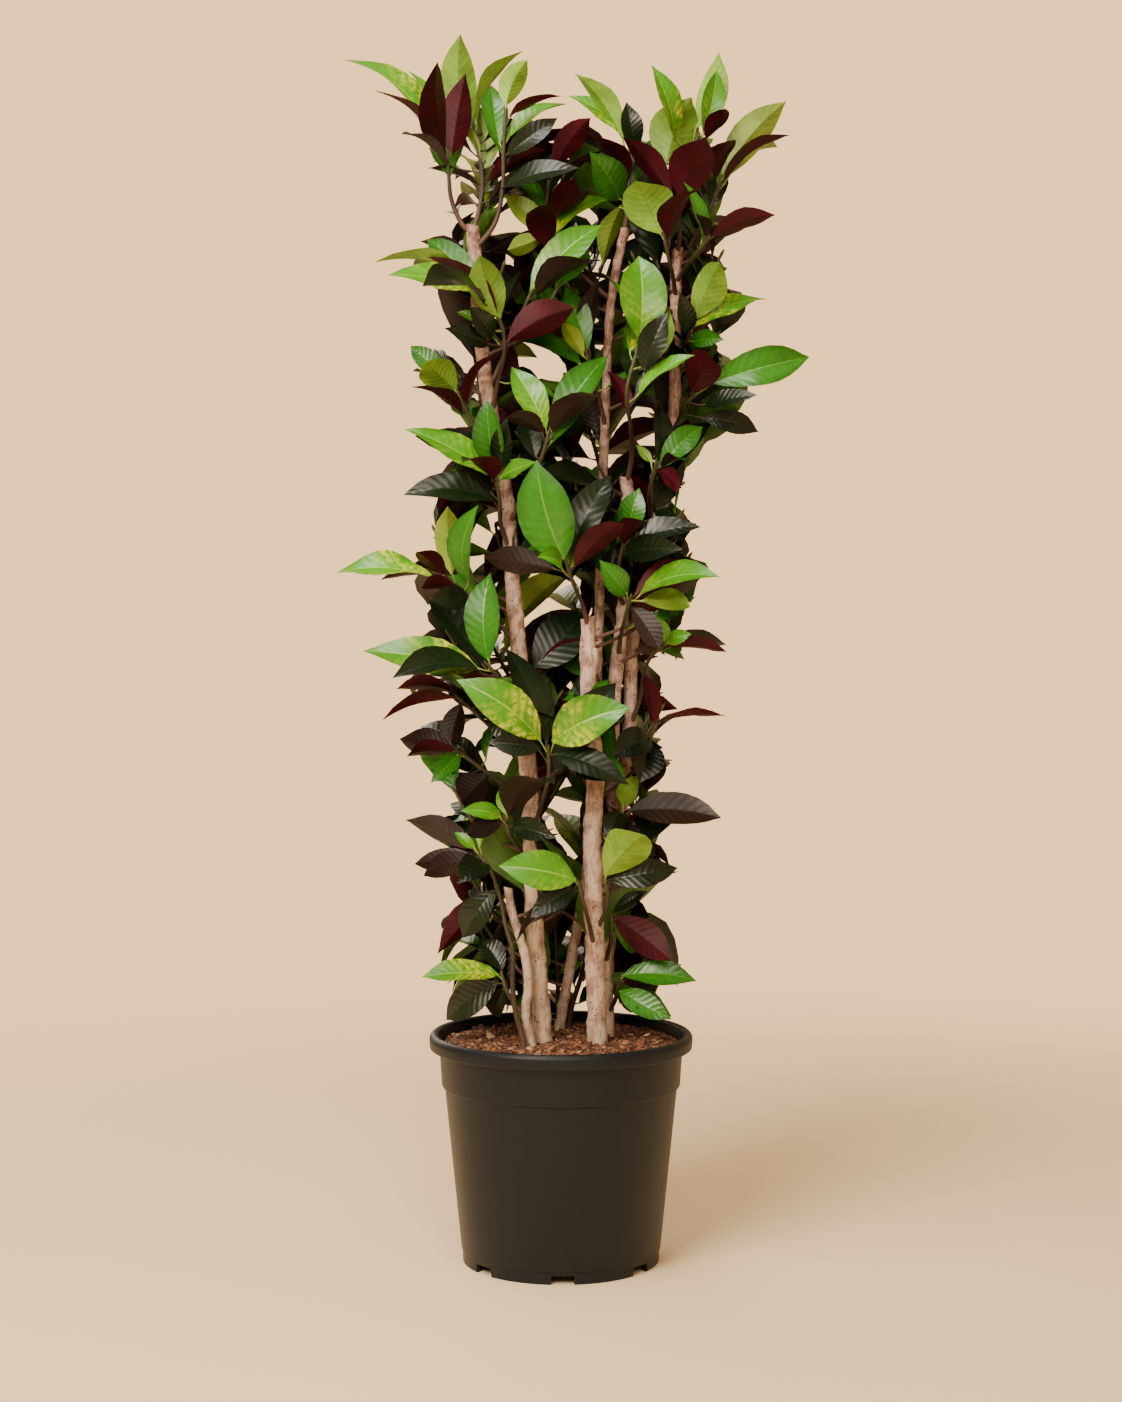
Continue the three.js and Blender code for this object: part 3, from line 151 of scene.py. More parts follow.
# ---- The pot: black polypropylene, injection moulded in one piece, 320 mm across its rolled rim and 275 mm
# high, tapered, with an upright band under the rim and a foot ring that has seven slots in it.
RIM_RADIUS, POT_HEIGHT, MOUTH_RADIUS, POT_WALL = 160, 275, 148.7, 2
BAND_LOW, BAND_FOOT, BAND_TOP, WALL_TOP = 212, 144.5, 147.5, 141
FOOT_RADIUS, FOOT_HEIGHT, FLOOR_TOP, PAD_RADIUS = 119, 14, 13.5, 62
INNER_FOOT, INNER_WALL, INNER_BAND, PAD_TOP = 118, 139, 142.5, 2.5  # inside: radii, the pad's height
SLOT_COUNT, SLOT_WIDTH, SLOT_HEIGHT, SLOT_TURN = 7, 27.6, 10, 1
SLOT_SIDE = 0.004  # of half a slot's width, in which its side rises
POT_STEP_DEGREES, STEP_SHIFT = 1.5, 0.0007  # the shift, in radians, keeps the steps off the slots' sides


def rounded(corners):
    """A profile with its corners eased: each (radius, height, ease) becomes a short curve that starts and
    ends that far from the corner and bends towards it."""
    path = np.array([corner[:2] for corner in corners], float)
    out = [path[:1]]
    for before, here, after, ease in zip(path[:-2], path[1:-1], path[2:], [c[2] for c in corners[1:-1]]):
        if ease == 0:
            out.append(here[None])
            continue
        start, end = (here + (other - here) * min(0.45, ease / np.linalg.norm(other - here))
                      for other in (before, after))
        t = np.linspace(0, 1, 5)[:, None]
        out.append((1 - t) ** 2 * start + 2 * t * (1 - t) * here + t ** 2 * end)
    return np.vstack([*out, path[-1:]])


def revolve(profile, angles):
    """Points and faces of a profile turned about Z: (r cos a, r sin a, z) for each angle a, closed all round.
    The profile's first and last points lie on the axis and become single points."""
    count, rows = len(angles), len(profile) - 2
    radius, height = profile[1:-1, 0], profile[1:-1, 1]
    ring = np.stack([np.outer(radius, np.cos(angles)), np.outer(radius, np.sin(angles)),
                     np.repeat(height[:, None], count, 1)], -1)
    points = np.vstack([ring.reshape(-1, 3), [[0, 0, profile[0, 1]], [0, 0, profile[-1, 1]]]])
    here = np.arange(rows * count).reshape(rows, count)
    onward = np.roll(here, -1, 1)
    quads = np.stack([here[:-1], onward[:-1], onward[1:], here[1:]], -1).reshape(-1, 4)
    low, high = rows * count, rows * count + 1
    first = np.stack([onward[0], here[0], np.full(count, low)], -1)
    last = np.stack([here[-1], onward[-1], np.full(count, high)], -1)
    return points, [*map(tuple, quads.tolist()), *map(tuple, first.tolist()), *map(tuple, last.tolist())]


floor_under = FLOOR_TOP - 2.5
pot_profile = rounded([
    (0, 0, 0), (PAD_RADIUS, 0, 1), (PAD_RADIUS + 4, floor_under, 1), (FOOT_RADIUS - 5.5, floor_under, 0.6),
    (FOOT_RADIUS - 4, 0, 0.8), (FOOT_RADIUS, 0, 0.8), (FOOT_RADIUS, FOOT_HEIGHT, 0.4),
    (FOOT_RADIUS + 1.6, FOOT_HEIGHT + 1, 1), (WALL_TOP, BAND_LOW - 2, 0.8), (BAND_FOOT, BAND_LOW, 1.1),
    (BAND_TOP, POT_HEIGHT - 19, 0.8), (RIM_RADIUS - 1, POT_HEIGHT - 18.5, 2.2),
    (RIM_RADIUS, POT_HEIGHT - 5, 4), (RIM_RADIUS - 3, POT_HEIGHT - 0.8, 2), (RIM_RADIUS - 6, POT_HEIGHT, 2),
    (MOUTH_RADIUS + 1, POT_HEIGHT - 1.5, 2.4), (BAND_TOP - POT_WALL, POT_HEIGHT - 19, 1),
    (INNER_BAND, BAND_LOW + 2, 1), (INNER_WALL, BAND_LOW - 3, 1), (INNER_FOOT, FLOOR_TOP, 1),
    (PAD_RADIUS + 2.5, FLOOR_TOP, 1), (PAD_RADIUS - 1.5, PAD_TOP, 1), (0, PAD_TOP, 0),
])
slot_half = np.arcsin(SLOT_WIDTH / 2 / FOOT_RADIUS)
slot_middles = np.radians(-90 + SLOT_TURN + 360 / SLOT_COUNT * np.arange(SLOT_COUNT))
slot_sides = (slot_middles[:, None] + np.array([-1 - SLOT_SIDE, -1, 1, 1 + SLOT_SIDE]) * slot_half).ravel()
pot_steps = np.radians(np.arange(0, 360, POT_STEP_DEGREES)) + STEP_SHIFT
around = np.unique(np.round(np.mod(np.concatenate([slot_sides, pot_steps]), 2 * np.pi), 9))
points, faces = revolve(pot_profile, around)
# The foot ring's lowest points are lifted to the slots' height where an angle lies inside a slot.
angle, radius = np.arctan2(points[:, 1], points[:, 0]), np.hypot(points[:, 0], points[:, 1])
from_slot = np.abs(np.angle(np.exp(1j * (angle[:, None] - slot_middles)))).min(1)
in_ring = (radius > FOOT_RADIUS - 8) & (radius < FOOT_RADIUS + 0.5)
in_slot = in_ring & (from_slot < slot_half * (1 + SLOT_SIDE / 2))
points[in_slot, 2] = np.maximum(points[in_slot, 2], SLOT_HEIGHT)

# Moulded polypropylene with carbon black: charcoal, with a soft broad gloss, a faint grain of 0.8 mm, and
# faint upright flow marks, which break the gloss into the slightly uneven sheen of a used pot.
pot_plastic, tree, shader = new_material("moulded_black_polypropylene")
place = add(tree, "ShaderNodeTexCoord").outputs["Object"]
grain = add(tree, "ShaderNodeTexNoise",
            {"Vector": place, "Scale": 1 / (0.8 * MM), "Detail": 2}).outputs["Fac"]
drawn = add(tree, "ShaderNodeMapping", {"Vector": place, "Scale": (1, 1, 0.12)}).outputs["Vector"]
flow = add(tree, "ShaderNodeTexNoise", {"Vector": drawn, "Scale": 1 / (45 * MM), "Detail": 3}).outputs["Fac"]
shade = add(tree, "ShaderNodeMix", {0: flow, 6: linear("#0b1016"), 7: linear("#121920")}, data_type="RGBA")
tree.links.new(shade.outputs[2], shader.inputs["Base Color"])
rough = add(tree, "ShaderNodeMapRange", {"Value": flow, "To Min": 0.36, "To Max": 0.5}).outputs[0]
tree.links.new(rough, shader.inputs["Roughness"])
shader.inputs["Specular IOR Level"].default_value = 0.26
bump = add(tree, "ShaderNodeBump", {"Strength": 0.25, "Distance": 0.1 * MM, "Height": grain})
tree.links.new(bump.outputs[0], shader.inputs["Normal"])

pot = solid_of("nursery_pot", points, faces, pot_plastic)
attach(pot, "root")
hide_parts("pot")


# ---- The soil: bark granules and peat, poured in and settled, with its crown 7 mm under the pot's rim. One
# body fills the pot, its top uneven, and loose granules and pale wood chips lie in it.
SOIL_EDGE, SOIL_CROWN = 263, 268
SOIL_REACH = 145.2
SOIL_GAP = 0.4  # between the soil and the pot's inside, low down
SOIL_BUMP = 1.9  # how far the top rises and falls
SOIL_RINGS, SOIL_STEP_DEGREES = 96, 1.25
GRANULES, GRANULE_SIZE, GRANULE_REACH = 1300, (1.6, 6.4), 141
SEED = 41


def bumps(x, y, scale, seed):
    """Smooth unevenness in -1..1: the mean of eight plane waves of about that length, in drawn directions."""
    draw = np.random.default_rng(seed)
    way, phase = draw.uniform(0, 2 * np.pi, 8), draw.uniform(0, 2 * np.pi, 8)
    length = scale * draw.uniform(0.6, 1.7, 8)
    waves = np.sin((x[..., None] * np.cos(way) + y[..., None] * np.sin(way)) * 2 * np.pi / length + phase)
    return waves.mean(-1) * 1.6


def soil_height(x, y):
    """Height of the soil's top: a low crown, with lumps of 34 mm, crumbs of 12 mm and grains of 5 mm."""
    out = np.hypot(x, y)
    crown = np.interp(out, [0, 70, 141, SOIL_REACH],
                      [SOIL_CROWN, SOIL_CROWN - 1.5, SOIL_EDGE, SOIL_EDGE - 2])
    rough = bumps(x, y, 34, SEED) + 0.7 * bumps(x, y, 12, SEED + 1) + 0.5 * bumps(x, y, 5, SEED + 2)
    return crown + SOIL_BUMP * rough * np.clip((SOIL_REACH - out) / 10, 0.25, 1) - 0.8


soil_radii = np.linspace(SOIL_REACH, 1.4, SOIL_RINGS)
soil_profile = np.vstack([
    [(0, PAD_TOP + SOIL_GAP), (PAD_RADIUS - 2, PAD_TOP + SOIL_GAP)],
    [(PAD_RADIUS + 2, FLOOR_TOP + SOIL_GAP), (INNER_FOOT - SOIL_GAP, FLOOR_TOP + SOIL_GAP)],
    [(INNER_WALL - SOIL_GAP, BAND_LOW - 3), (INNER_BAND - 0.5, BAND_LOW + 2),
     (SOIL_REACH - 0.3, SOIL_EDGE - 6)],
    np.stack([soil_radii, np.full(SOIL_RINGS, SOIL_EDGE)], -1), [(0, SOIL_CROWN)],
])
points, faces = revolve(soil_profile, np.radians(np.arange(0, 360, SOIL_STEP_DEGREES)))
top = points[:, 2] >= SOIL_EDGE
points[top, 2] = soil_height(points[top, 0], points[top, 1])

# Bark and peat: red-brown crumbs of 3 to 6 mm and pale fibres, matt, with painted shade, near-black, in the
# hollows between the crumbs.
soil_bark, tree, shader = new_material("bark_and_peat")
place = add(tree, "ShaderNodeTexCoord").outputs["Object"]
crumb = add(tree, "ShaderNodeTexVoronoi", {"Vector": place, "Scale": 1 / (4.5 * MM)})
speck = add(tree, "ShaderNodeTexNoise",
            {"Vector": place, "Scale": 1 / (2.2 * MM), "Detail": 4}).outputs["Fac"]
# Painted shade: the colour goes near-black in the hollows between the crumbs, where the bump sinks them.
painted_hollow_shade = add(tree, "ShaderNodeMapRange",
             {"Value": crumb.outputs["Distance"], "From Min": 0.25, "From Max": 0.75},
             interpolation_type="SMOOTHSTEP").outputs[0]
tone = add(tree, "ShaderNodeSeparateColor", {"Color": crumb.outputs["Color"]}).outputs[0]
brown = add(tree, "ShaderNodeMix", {0: tone, 6: linear("#6f4730"), 7: linear("#a06f4e")},
            data_type="RGBA").outputs[2]
fleck = add(tree, "ShaderNodeMapRange", {"Value": speck, "From Min": 0.6, "From Max": 0.72}).outputs[0]
brown = add(tree, "ShaderNodeMix", {0: fleck, 6: brown, 7: linear("#b5835c")}, data_type="RGBA").outputs[2]
# The painted shade of the hollows is mixed in here.
brown = add(tree, "ShaderNodeMix", {0: painted_hollow_shade, 6: brown, 7: linear("#3a2117")}, data_type="RGBA").outputs[2]
tree.links.new(brown, shader.inputs["Base Color"])
shader.inputs["Roughness"].default_value = 0.92
lump = add(tree, "ShaderNodeMath", {0: speck, 1: crumb.outputs["Distance"]}, operation="SUBTRACT").outputs[0]
bump = add(tree, "ShaderNodeBump", {"Strength": 0.8, "Distance": 2 * MM, "Height": lump})
tree.links.new(bump.outputs[0], shader.inputs["Normal"])

soil = solid_of("potting_mix", points, faces, soil_bark)
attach(soil, "root")
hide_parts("soil")

# Granules: each is a lump of twelve points, a twenty-sided solid pulled to a drawn length, width and height
# and turned about Z, half sunk in the top. One broad pale chip lies at the left in front.
golden = (1 + 5 ** 0.5) / 2
LUMP = np.array([(s * a, t * b, 0) for a, b in ((1, golden),) for s in (-1, 1) for t in (-1, 1)])
LUMP = np.vstack([LUMP, LUMP[:, [2, 0, 1]], LUMP[:, [1, 2, 0]]]) / np.hypot(1, golden)
near = np.linalg.norm(LUMP[:, None] - LUMP[None], axis=-1)
LUMP_FACES = np.array([
    (i, j, k) for i in range(12) for j in range(i + 1, 12) for k in range(j + 1, 12)
    if max(near[i, j], near[j, k], near[i, k]) < 1.2
])
first, second, third = (LUMP[LUMP_FACES[:, k]] for k in range(3))
outward = (np.cross(second - first, third - first) * first).sum(-1)
LUMP_FACES[outward < 0] = LUMP_FACES[outward < 0][:, ::-1]

draw = np.random.default_rng(SEED + 5)
far = GRANULE_REACH * np.sqrt(draw.uniform(0, 1, GRANULES))
turn = draw.uniform(0, 2 * np.pi, GRANULES)
size = GRANULE_SIZE[0] + (GRANULE_SIZE[1] - GRANULE_SIZE[0]) * draw.uniform(0, 1, GRANULES) ** 2.2
middle = np.stack([far * np.cos(turn), far * np.sin(turn), np.zeros(GRANULES)], -1)
shape = size[:, None] * np.stack([np.ones(GRANULES), draw.uniform(0.45, 0.9, GRANULES),
                                  draw.uniform(0.3, 0.6, GRANULES)], -1)
tint = draw.uniform(0, 0.85, GRANULES) ** 1.6
PALE_CHIPS = [  # across, back, length, width, height and tint
    (-85, 12, 11, 7, 4.5, 0.96), (-60, -60, 6, 3.5, 2, 0.8), (75, -50, 7, 3, 2, 0.85),
    (20, -95, 5, 4, 2, 0.8), (104, 20, 7, 4, 2.5, 0.9), (-20, -112, 6, 3, 2, 0.75),
    (48, -108, 8, 3, 2, 0.7),
]
chips = np.array(PALE_CHIPS)
middle = np.vstack([middle, np.pad(chips[:, :2], ((0, 0), (0, 1)))])
shape, tint = np.vstack([shape, chips[:, 2:5]]), np.concatenate([tint, chips[:, 5]])
middle[:, 2] = soil_height(middle[:, 0], middle[:, 1]) + shape[:, 2] * 0.35
spin = draw.uniform(0, 2 * np.pi, len(middle))
lumps = LUMP * shape[:, None] * (1 + 0.3 * draw.uniform(-1, 1, (len(middle), 12, 1)))
tip_up = draw.uniform(-0.5, 0.5, len(middle))[:, None]
lumps[..., 2] += lumps[..., 0] * tip_up
turned_x = lumps[..., 0] * np.cos(spin)[:, None] - lumps[..., 1] * np.sin(spin)[:, None]
turned_y = lumps[..., 0] * np.sin(spin)[:, None] + lumps[..., 1] * np.cos(spin)[:, None]
points = np.stack([turned_x, turned_y, lumps[..., 2]], -1) + middle[:, None]
faces = (LUMP_FACES[None] + 12 * np.arange(len(middle))[:, None, None]).reshape(-1, 3)

# Bark granules: from near-black peat to red-brown bark and pale split wood, matt, with a fine fibre grain.
granule_bark, tree, shader = new_material("loose_bark_granules")
place = add(tree, "ShaderNodeTexCoord").outputs["Object"]
tone = add(tree, "ShaderNodeAttribute", attribute_name="tint").outputs["Fac"]
fibre = add(tree, "ShaderNodeTexNoise",
            {"Vector": place, "Scale": 1 / (1.5 * MM), "Detail": 3}).outputs["Fac"]
ramp = add(tree, "ShaderNodeValToRGB", {"Fac": tone})
stops = ramp.color_ramp.elements
stops[0].color, stops[1].color, stops[1].position = linear("#40281c"), linear("#e0bd98"), 0.97
for at, colour in ((0.3, "#74482f"), (0.62, "#a0714e")):
    stops.new(at).color = linear(colour)
streak = add(tree, "ShaderNodeMath", {0: fibre, 1: 0.4}, operation="MULTIPLY").outputs[0]
darker = add(tree, "ShaderNodeMix", {0: streak, 6: ramp.outputs[0], 7: linear("#4a2a1b")}, data_type="RGBA")
tree.links.new(darker.outputs[2], shader.inputs["Base Color"])
shader.inputs["Roughness"].default_value = 0.9
bump = add(tree, "ShaderNodeBump", {"Strength": 0.5, "Distance": 0.5 * MM, "Height": fibre})
tree.links.new(bump.outputs[0], shader.inputs["Normal"])

granules = solid_of("bark_granules", points.reshape(-1, 3), [tuple(f) for f in faces.tolist()], granule_bark)
tints = granules.data.attributes.new("tint", "FLOAT", "POINT")
tints.data.foreach_set("value", np.repeat(tint, 12).astype(np.float32))
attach(granules, "root")


# ---- The trunks: six bare woody stems, cut across at the top, rooted in the soil. Each follows its points as
# seen from the front: [across, down, depth behind the pot's axis, diameter], in steps of 1.215 mm and in mm.
STEP = 1.215
TRUNK_DEPTH = 90
TRUNKS = {
    "trunk_a": {
        "tilt": 12,
        "path": [
            [543.6, 1042, -25, 23], [535, 925, -25, 22], [529, 773, -25, 21], [520, 660, -25, 20],
            [513, 580, -25, 19], [508, 505, -25, 18], [486, 378, -25, 17], [472.5, 222, -25, 16],
        ],
    },
    "trunk_b": {
        "tilt": -14,
        "path": [
            [598, 1042, -30, 23.5], [594.5, 925, -30, 23], [593, 828, -30, 22], [596, 780, -30, 21],
            [589, 698, -30, 20], [588.6, 614, -30, 18],
        ],
        "fork": [[589, 685, -30, 13], [593, 665, -31, 13], [594.5, 648, -31, 13]],
    },
    "trunk_c": {
        "tilt": 8,
        "path": [
            [608, 1030, 20, 18], [605, 960, 20, 17.5], [606, 895, 20, 17.5], [611, 800, 20, 17],
            [615, 691, 20, 17], [624, 608, 20, 16.5], [628, 500, 20, 15.5], [625, 474, 20, 15],
        ],
    },
    "trunk_d": {
        "tilt": -10,
        "path": [
            [604, 1020, 65, 18], [612, 900, 60, 17.5], [622, 800, 52, 17], [630, 725, 45, 16.5],
            [633, 640, 40, 16], [641, 600, 40, 15.5], [658, 526, 40, 15], [668, 470, 40, 15],
            [675, 400, 40, 14.5], [676, 292, 40, 14], [678, 245, 40, 14],
        ],
    },
    "trunk_e": {
        "tilt": 10,
        "path": [
            [560, 1028, 50, 13], [571, 964, 45, 13], [590, 850, 36, 12.5], [598, 660, 32, 12],
            [604, 463, 28, 11.5], [612, 300, 20, 11], [626, 225, 10, 10.5],
        ],
    },
    "trunk_f": {
        "tilt": 15,
        "path": [
            [532, 1047, -52, 12], [526, 1010, -52, 11.5], [529, 985, -52, 11], [526, 958, -52, 11],
            [519, 933, -52, 10.5], [511, 905, -52, 10], [508, 884, -52, 10],
        ],
    },
}
TRUNK_AROUND = 22
TRUNK_RING_SPACING = 3.2
CUT_BELOW = 4  # of the sloping cut under the last point
CUT_RINGS = np.array([[0.5, 0.985], [3, 0.94], [3, 0.5], [3, 0.05]])  # past the end, share of its radius
SCAR_SPACING = 27  # between the leaf scars, which ring the stem by halves
SCAR_RISE = 0.75
BARK_FLARE = 1.6  # added at the soil
BARK_SEED = 300
ARM_RINGS = 18  # of the fork's short arm
LINE_STEPS = np.linspace(0, 1, 201)


def seen(across, down, depth):
    """The place (mm) that is seen there: across and down are scaled by the distance from the eye, and
    depth is the distance behind the pot's axis."""
    scale = STEP * (1 + np.asarray(depth) / EYE_AWAY)
    return np.stack([(np.asarray(across) - EYE_ACROSS) * scale, depth + 0 * scale,
                     EYE_HEIGHT + (EYE_DOWN - np.asarray(down)) * scale], -1)


def smooth_line(points):
    """A smooth line through points, with its length and how far along it each step lies."""
    line = {"points": np.asarray(points, float)}
    places = line_at_step(line, LINE_STEPS)
    line["far"] = np.concatenate([[0], np.cumsum(np.linalg.norm(np.diff(places, axis=0), axis=1))])
    line["length"] = line["far"][-1]
    return line


def line_at_step(line, t):
    """Places on a line at t in 0..1 over its points: between each two points a cubic whose slopes come from
    the points on both sides, weighed by the fourth root of their squared distance."""
    points = line["points"]
    padded = np.vstack([2 * points[0] - points[1], points, 2 * points[-1] - points[-2]])
    at = np.clip(t, 0, 1) * (len(points) - 1)
    i = np.minimum(at.astype(int), len(points) - 2)
    w = (at - i)[:, None]
    a, b, c, d = (padded[i + k] for k in range(4))
    ab, bc, cd = (((q - p) ** 2).sum(-1, keepdims=True) ** 0.25 for p, q in ((a, b), (b, c), (c, d)))
    leave = ((b - a) / ab - (c - a) / (ab + bc) + (c - b) / bc) * bc
    reach = ((c - b) / bc - (d - b) / (bc + cd) + (d - c) / cd) * bc
    return b + leave * w + (3 * (c - b) - 2 * leave - reach) * w ** 2 + (2 * (b - c) + leave + reach) * w ** 3


def along_line(line, share):
    """Places and headings on a line at these shares of its length."""
    t = np.interp(np.atleast_1d(share) * line["length"], line["far"], LINE_STEPS)
    way = line_at_step(line, np.clip(t + 1e-4, 0, 1)) - line_at_step(line, np.clip(t - 1e-4, 0, 1))
    return line_at_step(line, t), way / np.linalg.norm(way, axis=1, keepdims=True)


def tube(middles, headings, radii, around):
    """Points and faces of a round bar: at each middle a ring of the given radius, square to the heading and
    turned so that its first point faces +X, with a flat face over each end. radii may differ round a ring."""
    side = np.array([1.0, 0, 0]) - headings * headings[:, :1]
    side /= np.linalg.norm(side, axis=1, keepdims=True)
    other = np.cross(headings, side)
    angles = np.linspace(0, 2 * np.pi, around, endpoint=False)
    ring = side[:, None] * np.cos(angles)[:, None] + other[:, None] * np.sin(angles)[:, None]
    radii = np.broadcast_to(np.asarray(radii, float).reshape(len(middles), -1), (len(middles), around))
    points = middles[:, None] + ring * radii[..., None]
    here = np.arange(len(middles) * around).reshape(len(middles), around)
    onward = np.roll(here, -1, 1)
    quads = np.stack([here[:-1], onward[:-1], onward[1:], here[1:]], -1).reshape(-1, 4)
    ends = [tuple(here[0][::-1].tolist()), tuple(here[-1].tolist())]
    return points.reshape(-1, 3), [*map(tuple, quads.tolist()), *ends]


def trunk_line(trunk):
    """The middle line of a trunk, from its end in the soil to its cut, with the radius at each point."""
    path = np.array(trunk["path"], float)
    places = seen(path[:, 0], path[:, 1], path[:, 2])
    foot, level = places[0].copy(), places[0].copy()
    foot[2], level[2] = SOIL_EDGE - TRUNK_DEPTH, SOIL_EDGE - 10
    return smooth_line(np.vstack([foot, level, places])), np.concatenate([path[[0, 0], 3], path[:, 3]]) / 2


def bark_radius(far, radius, angles, draw, flare):
    """Radius of a barked stem, by distance along it and angle: its own taper, a flare at the soil, low knobs
    and hollows of 20 to 60 mm, and leaf scars, each a half ring that stands out on its own side."""
    out = np.repeat(radius[:, None], len(angles), 1)
    lobes = 1 + 0.4 * np.sin(3 * angles + draw.uniform(0, 6))
    out += flare * np.exp(-np.maximum(far - (TRUNK_DEPTH - 12), 0) / 9)[:, None] * lobes
    for length, size in ((60, 0.045), (27, 0.03), (11, 0.016)):
        for turns in (1, 2, 3):
            phase = draw.uniform(0, 2 * np.pi, 2)
            out += radius[:, None] * size * np.sin(turns * angles + phase[0]) \
                * np.sin(2 * np.pi * far / length / draw.uniform(0.8, 1.3) + phase[1])[:, None]
    count = int(far[-1] / SCAR_SPACING)
    scars = (np.arange(count) + draw.uniform(0.1, 0.9, count)) * SCAR_SPACING
    facing = np.arange(count) * 2.4 + draw.uniform(-0.5, 0.5, count)
    rise = np.exp(-((far[:, None] - scars) / 1.7) ** 2)[:, None] * np.clip(
        np.cos(angles[:, None] - facing) + 0.35, 0, 1)[None] ** 1.5
    return out + SCAR_RISE * rise.sum(-1)


# Croton bark, matt: grey-tan with a pink cast, redder and darker up the stem, finely furrowed lengthways
# every 2 mm, with painted shade in the furrows and a painted highlight on the ridges between them, dark
# pores, pale corky specks, pale rings of old leaf scars and green algae low down.
bark, tree, shader = new_material("croton_bark")
place = add(tree, "ShaderNodeTexCoord").outputs["Object"]
height = add(tree, "ShaderNodeSeparateXYZ", {"Vector": place}).outputs["Z"]
drawn = add(tree, "ShaderNodeMapping", {"Vector": place, "Scale": (1, 1, 0.16)}).outputs["Vector"]
furrow = add(tree, "ShaderNodeTexNoise",
             {"Vector": drawn, "Scale": 1 / (2.1 * MM), "Detail": 5}).outputs["Fac"]
patch = add(tree, "ShaderNodeTexNoise",
            {"Vector": place, "Scale": 1 / (17 * MM), "Detail": 4}).outputs["Fac"]
squat = add(tree, "ShaderNodeMapping", {"Vector": place, "Scale": (1, 1, 1.9)}).outputs["Vector"]
pore = add(tree, "ShaderNodeTexVoronoi", {"Vector": squat, "Scale": 1 / (10 * MM)}).outputs["Distance"]
speck = add(tree, "ShaderNodeTexVoronoi", {"Vector": squat, "Scale": 1 / (4.5 * MM)}).outputs["Distance"]
scar = add(tree, "ShaderNodeAttribute", attribute_name="scar").outputs["Fac"]
marks = []  # share of each mark: where its value lies between two bounds it passes from one share to another
for value, low, high, start, end in (
    (height, 0.6, 1.25, 0, 1), (patch, 0.36, 0.62, 0, 1), (furrow, 0.34, 0.52, 0.5, 0),
    (furrow, 0.55, 0.75, 0, 0.45), (speck, 0.1, 0.2, 0.55, 0), (pore, 0.1, 0.2, 0.85, 0),
    (height, 0.34, 0.45, 0.35, 0),
):
    marks.append(add(
        tree, "ShaderNodeMapRange",
        {"Value": value, "From Min": low, "From Max": high, "To Min": start, "To Max": end},
        interpolation_type="SMOOTHSTEP",
    ).outputs[0])
upper, patched, furrow_shade, ridge_highlight, specks, pores, film = marks
film = add(tree, "ShaderNodeMath", {0: film, 1: patched}, operation="MULTIPLY").outputs[0]
dark_wood, wood = (
    add(tree, "ShaderNodeMix", {0: upper, 6: linear(low), 7: linear(high)}, data_type="RGBA").outputs[2]
    for low, high in (("#a08172", "#805a50"), ("#dcc0b0", "#c59a8a"))
)
wood = add(tree, "ShaderNodeMix", {0: patched, 6: dark_wood, 7: wood}, data_type="RGBA").outputs[2]
# Painted shade darkens the furrows and a painted highlight pales the ridges between them; pores, specks,
# scars and algae are the bark's own.
for share, tint in ((furrow_shade, "#5c3f33"), (ridge_highlight, "#ecd6c8"), (specks, "#efdccf"), (pores, "#4a2a1c"),
                    (scar, "#dcbb9e"), (film, "#5f6b38")):
    wood = add(tree, "ShaderNodeMix", {0: share, 6: wood, 7: linear(tint)}, data_type="RGBA").outputs[2]
tree.links.new(wood, shader.inputs["Base Color"])
shader.inputs["Roughness"].default_value = 0.8
shader.inputs["Specular IOR Level"].default_value = 0.3
relief = add(tree, "ShaderNodeMath", {0: furrow, 1: pores}, operation="SUBTRACT").outputs[0]
bump = add(tree, "ShaderNodeBump", {"Strength": 0.8, "Distance": 0.9 * MM, "Height": relief})
tree.links.new(bump.outputs[0], shader.inputs["Normal"])

# Cut wood: pale tan across the grain, greyed by weather, with fine rings, dull.
cut_wood, tree, shader = new_material("weathered_cut_wood")
place = add(tree, "ShaderNodeTexCoord").outputs["Object"]
rays = add(tree, "ShaderNodeTexNoise",
           {"Vector": place, "Scale": 1 / (1.6 * MM), "Detail": 3}).outputs["Fac"]
face = add(tree, "ShaderNodeMix", {0: rays, 6: linear("#8f6a4d"), 7: linear("#c7a27c")}, data_type="RGBA")
tree.links.new(face.outputs[2], shader.inputs["Base Color"])
shader.inputs["Roughness"].default_value = 0.9

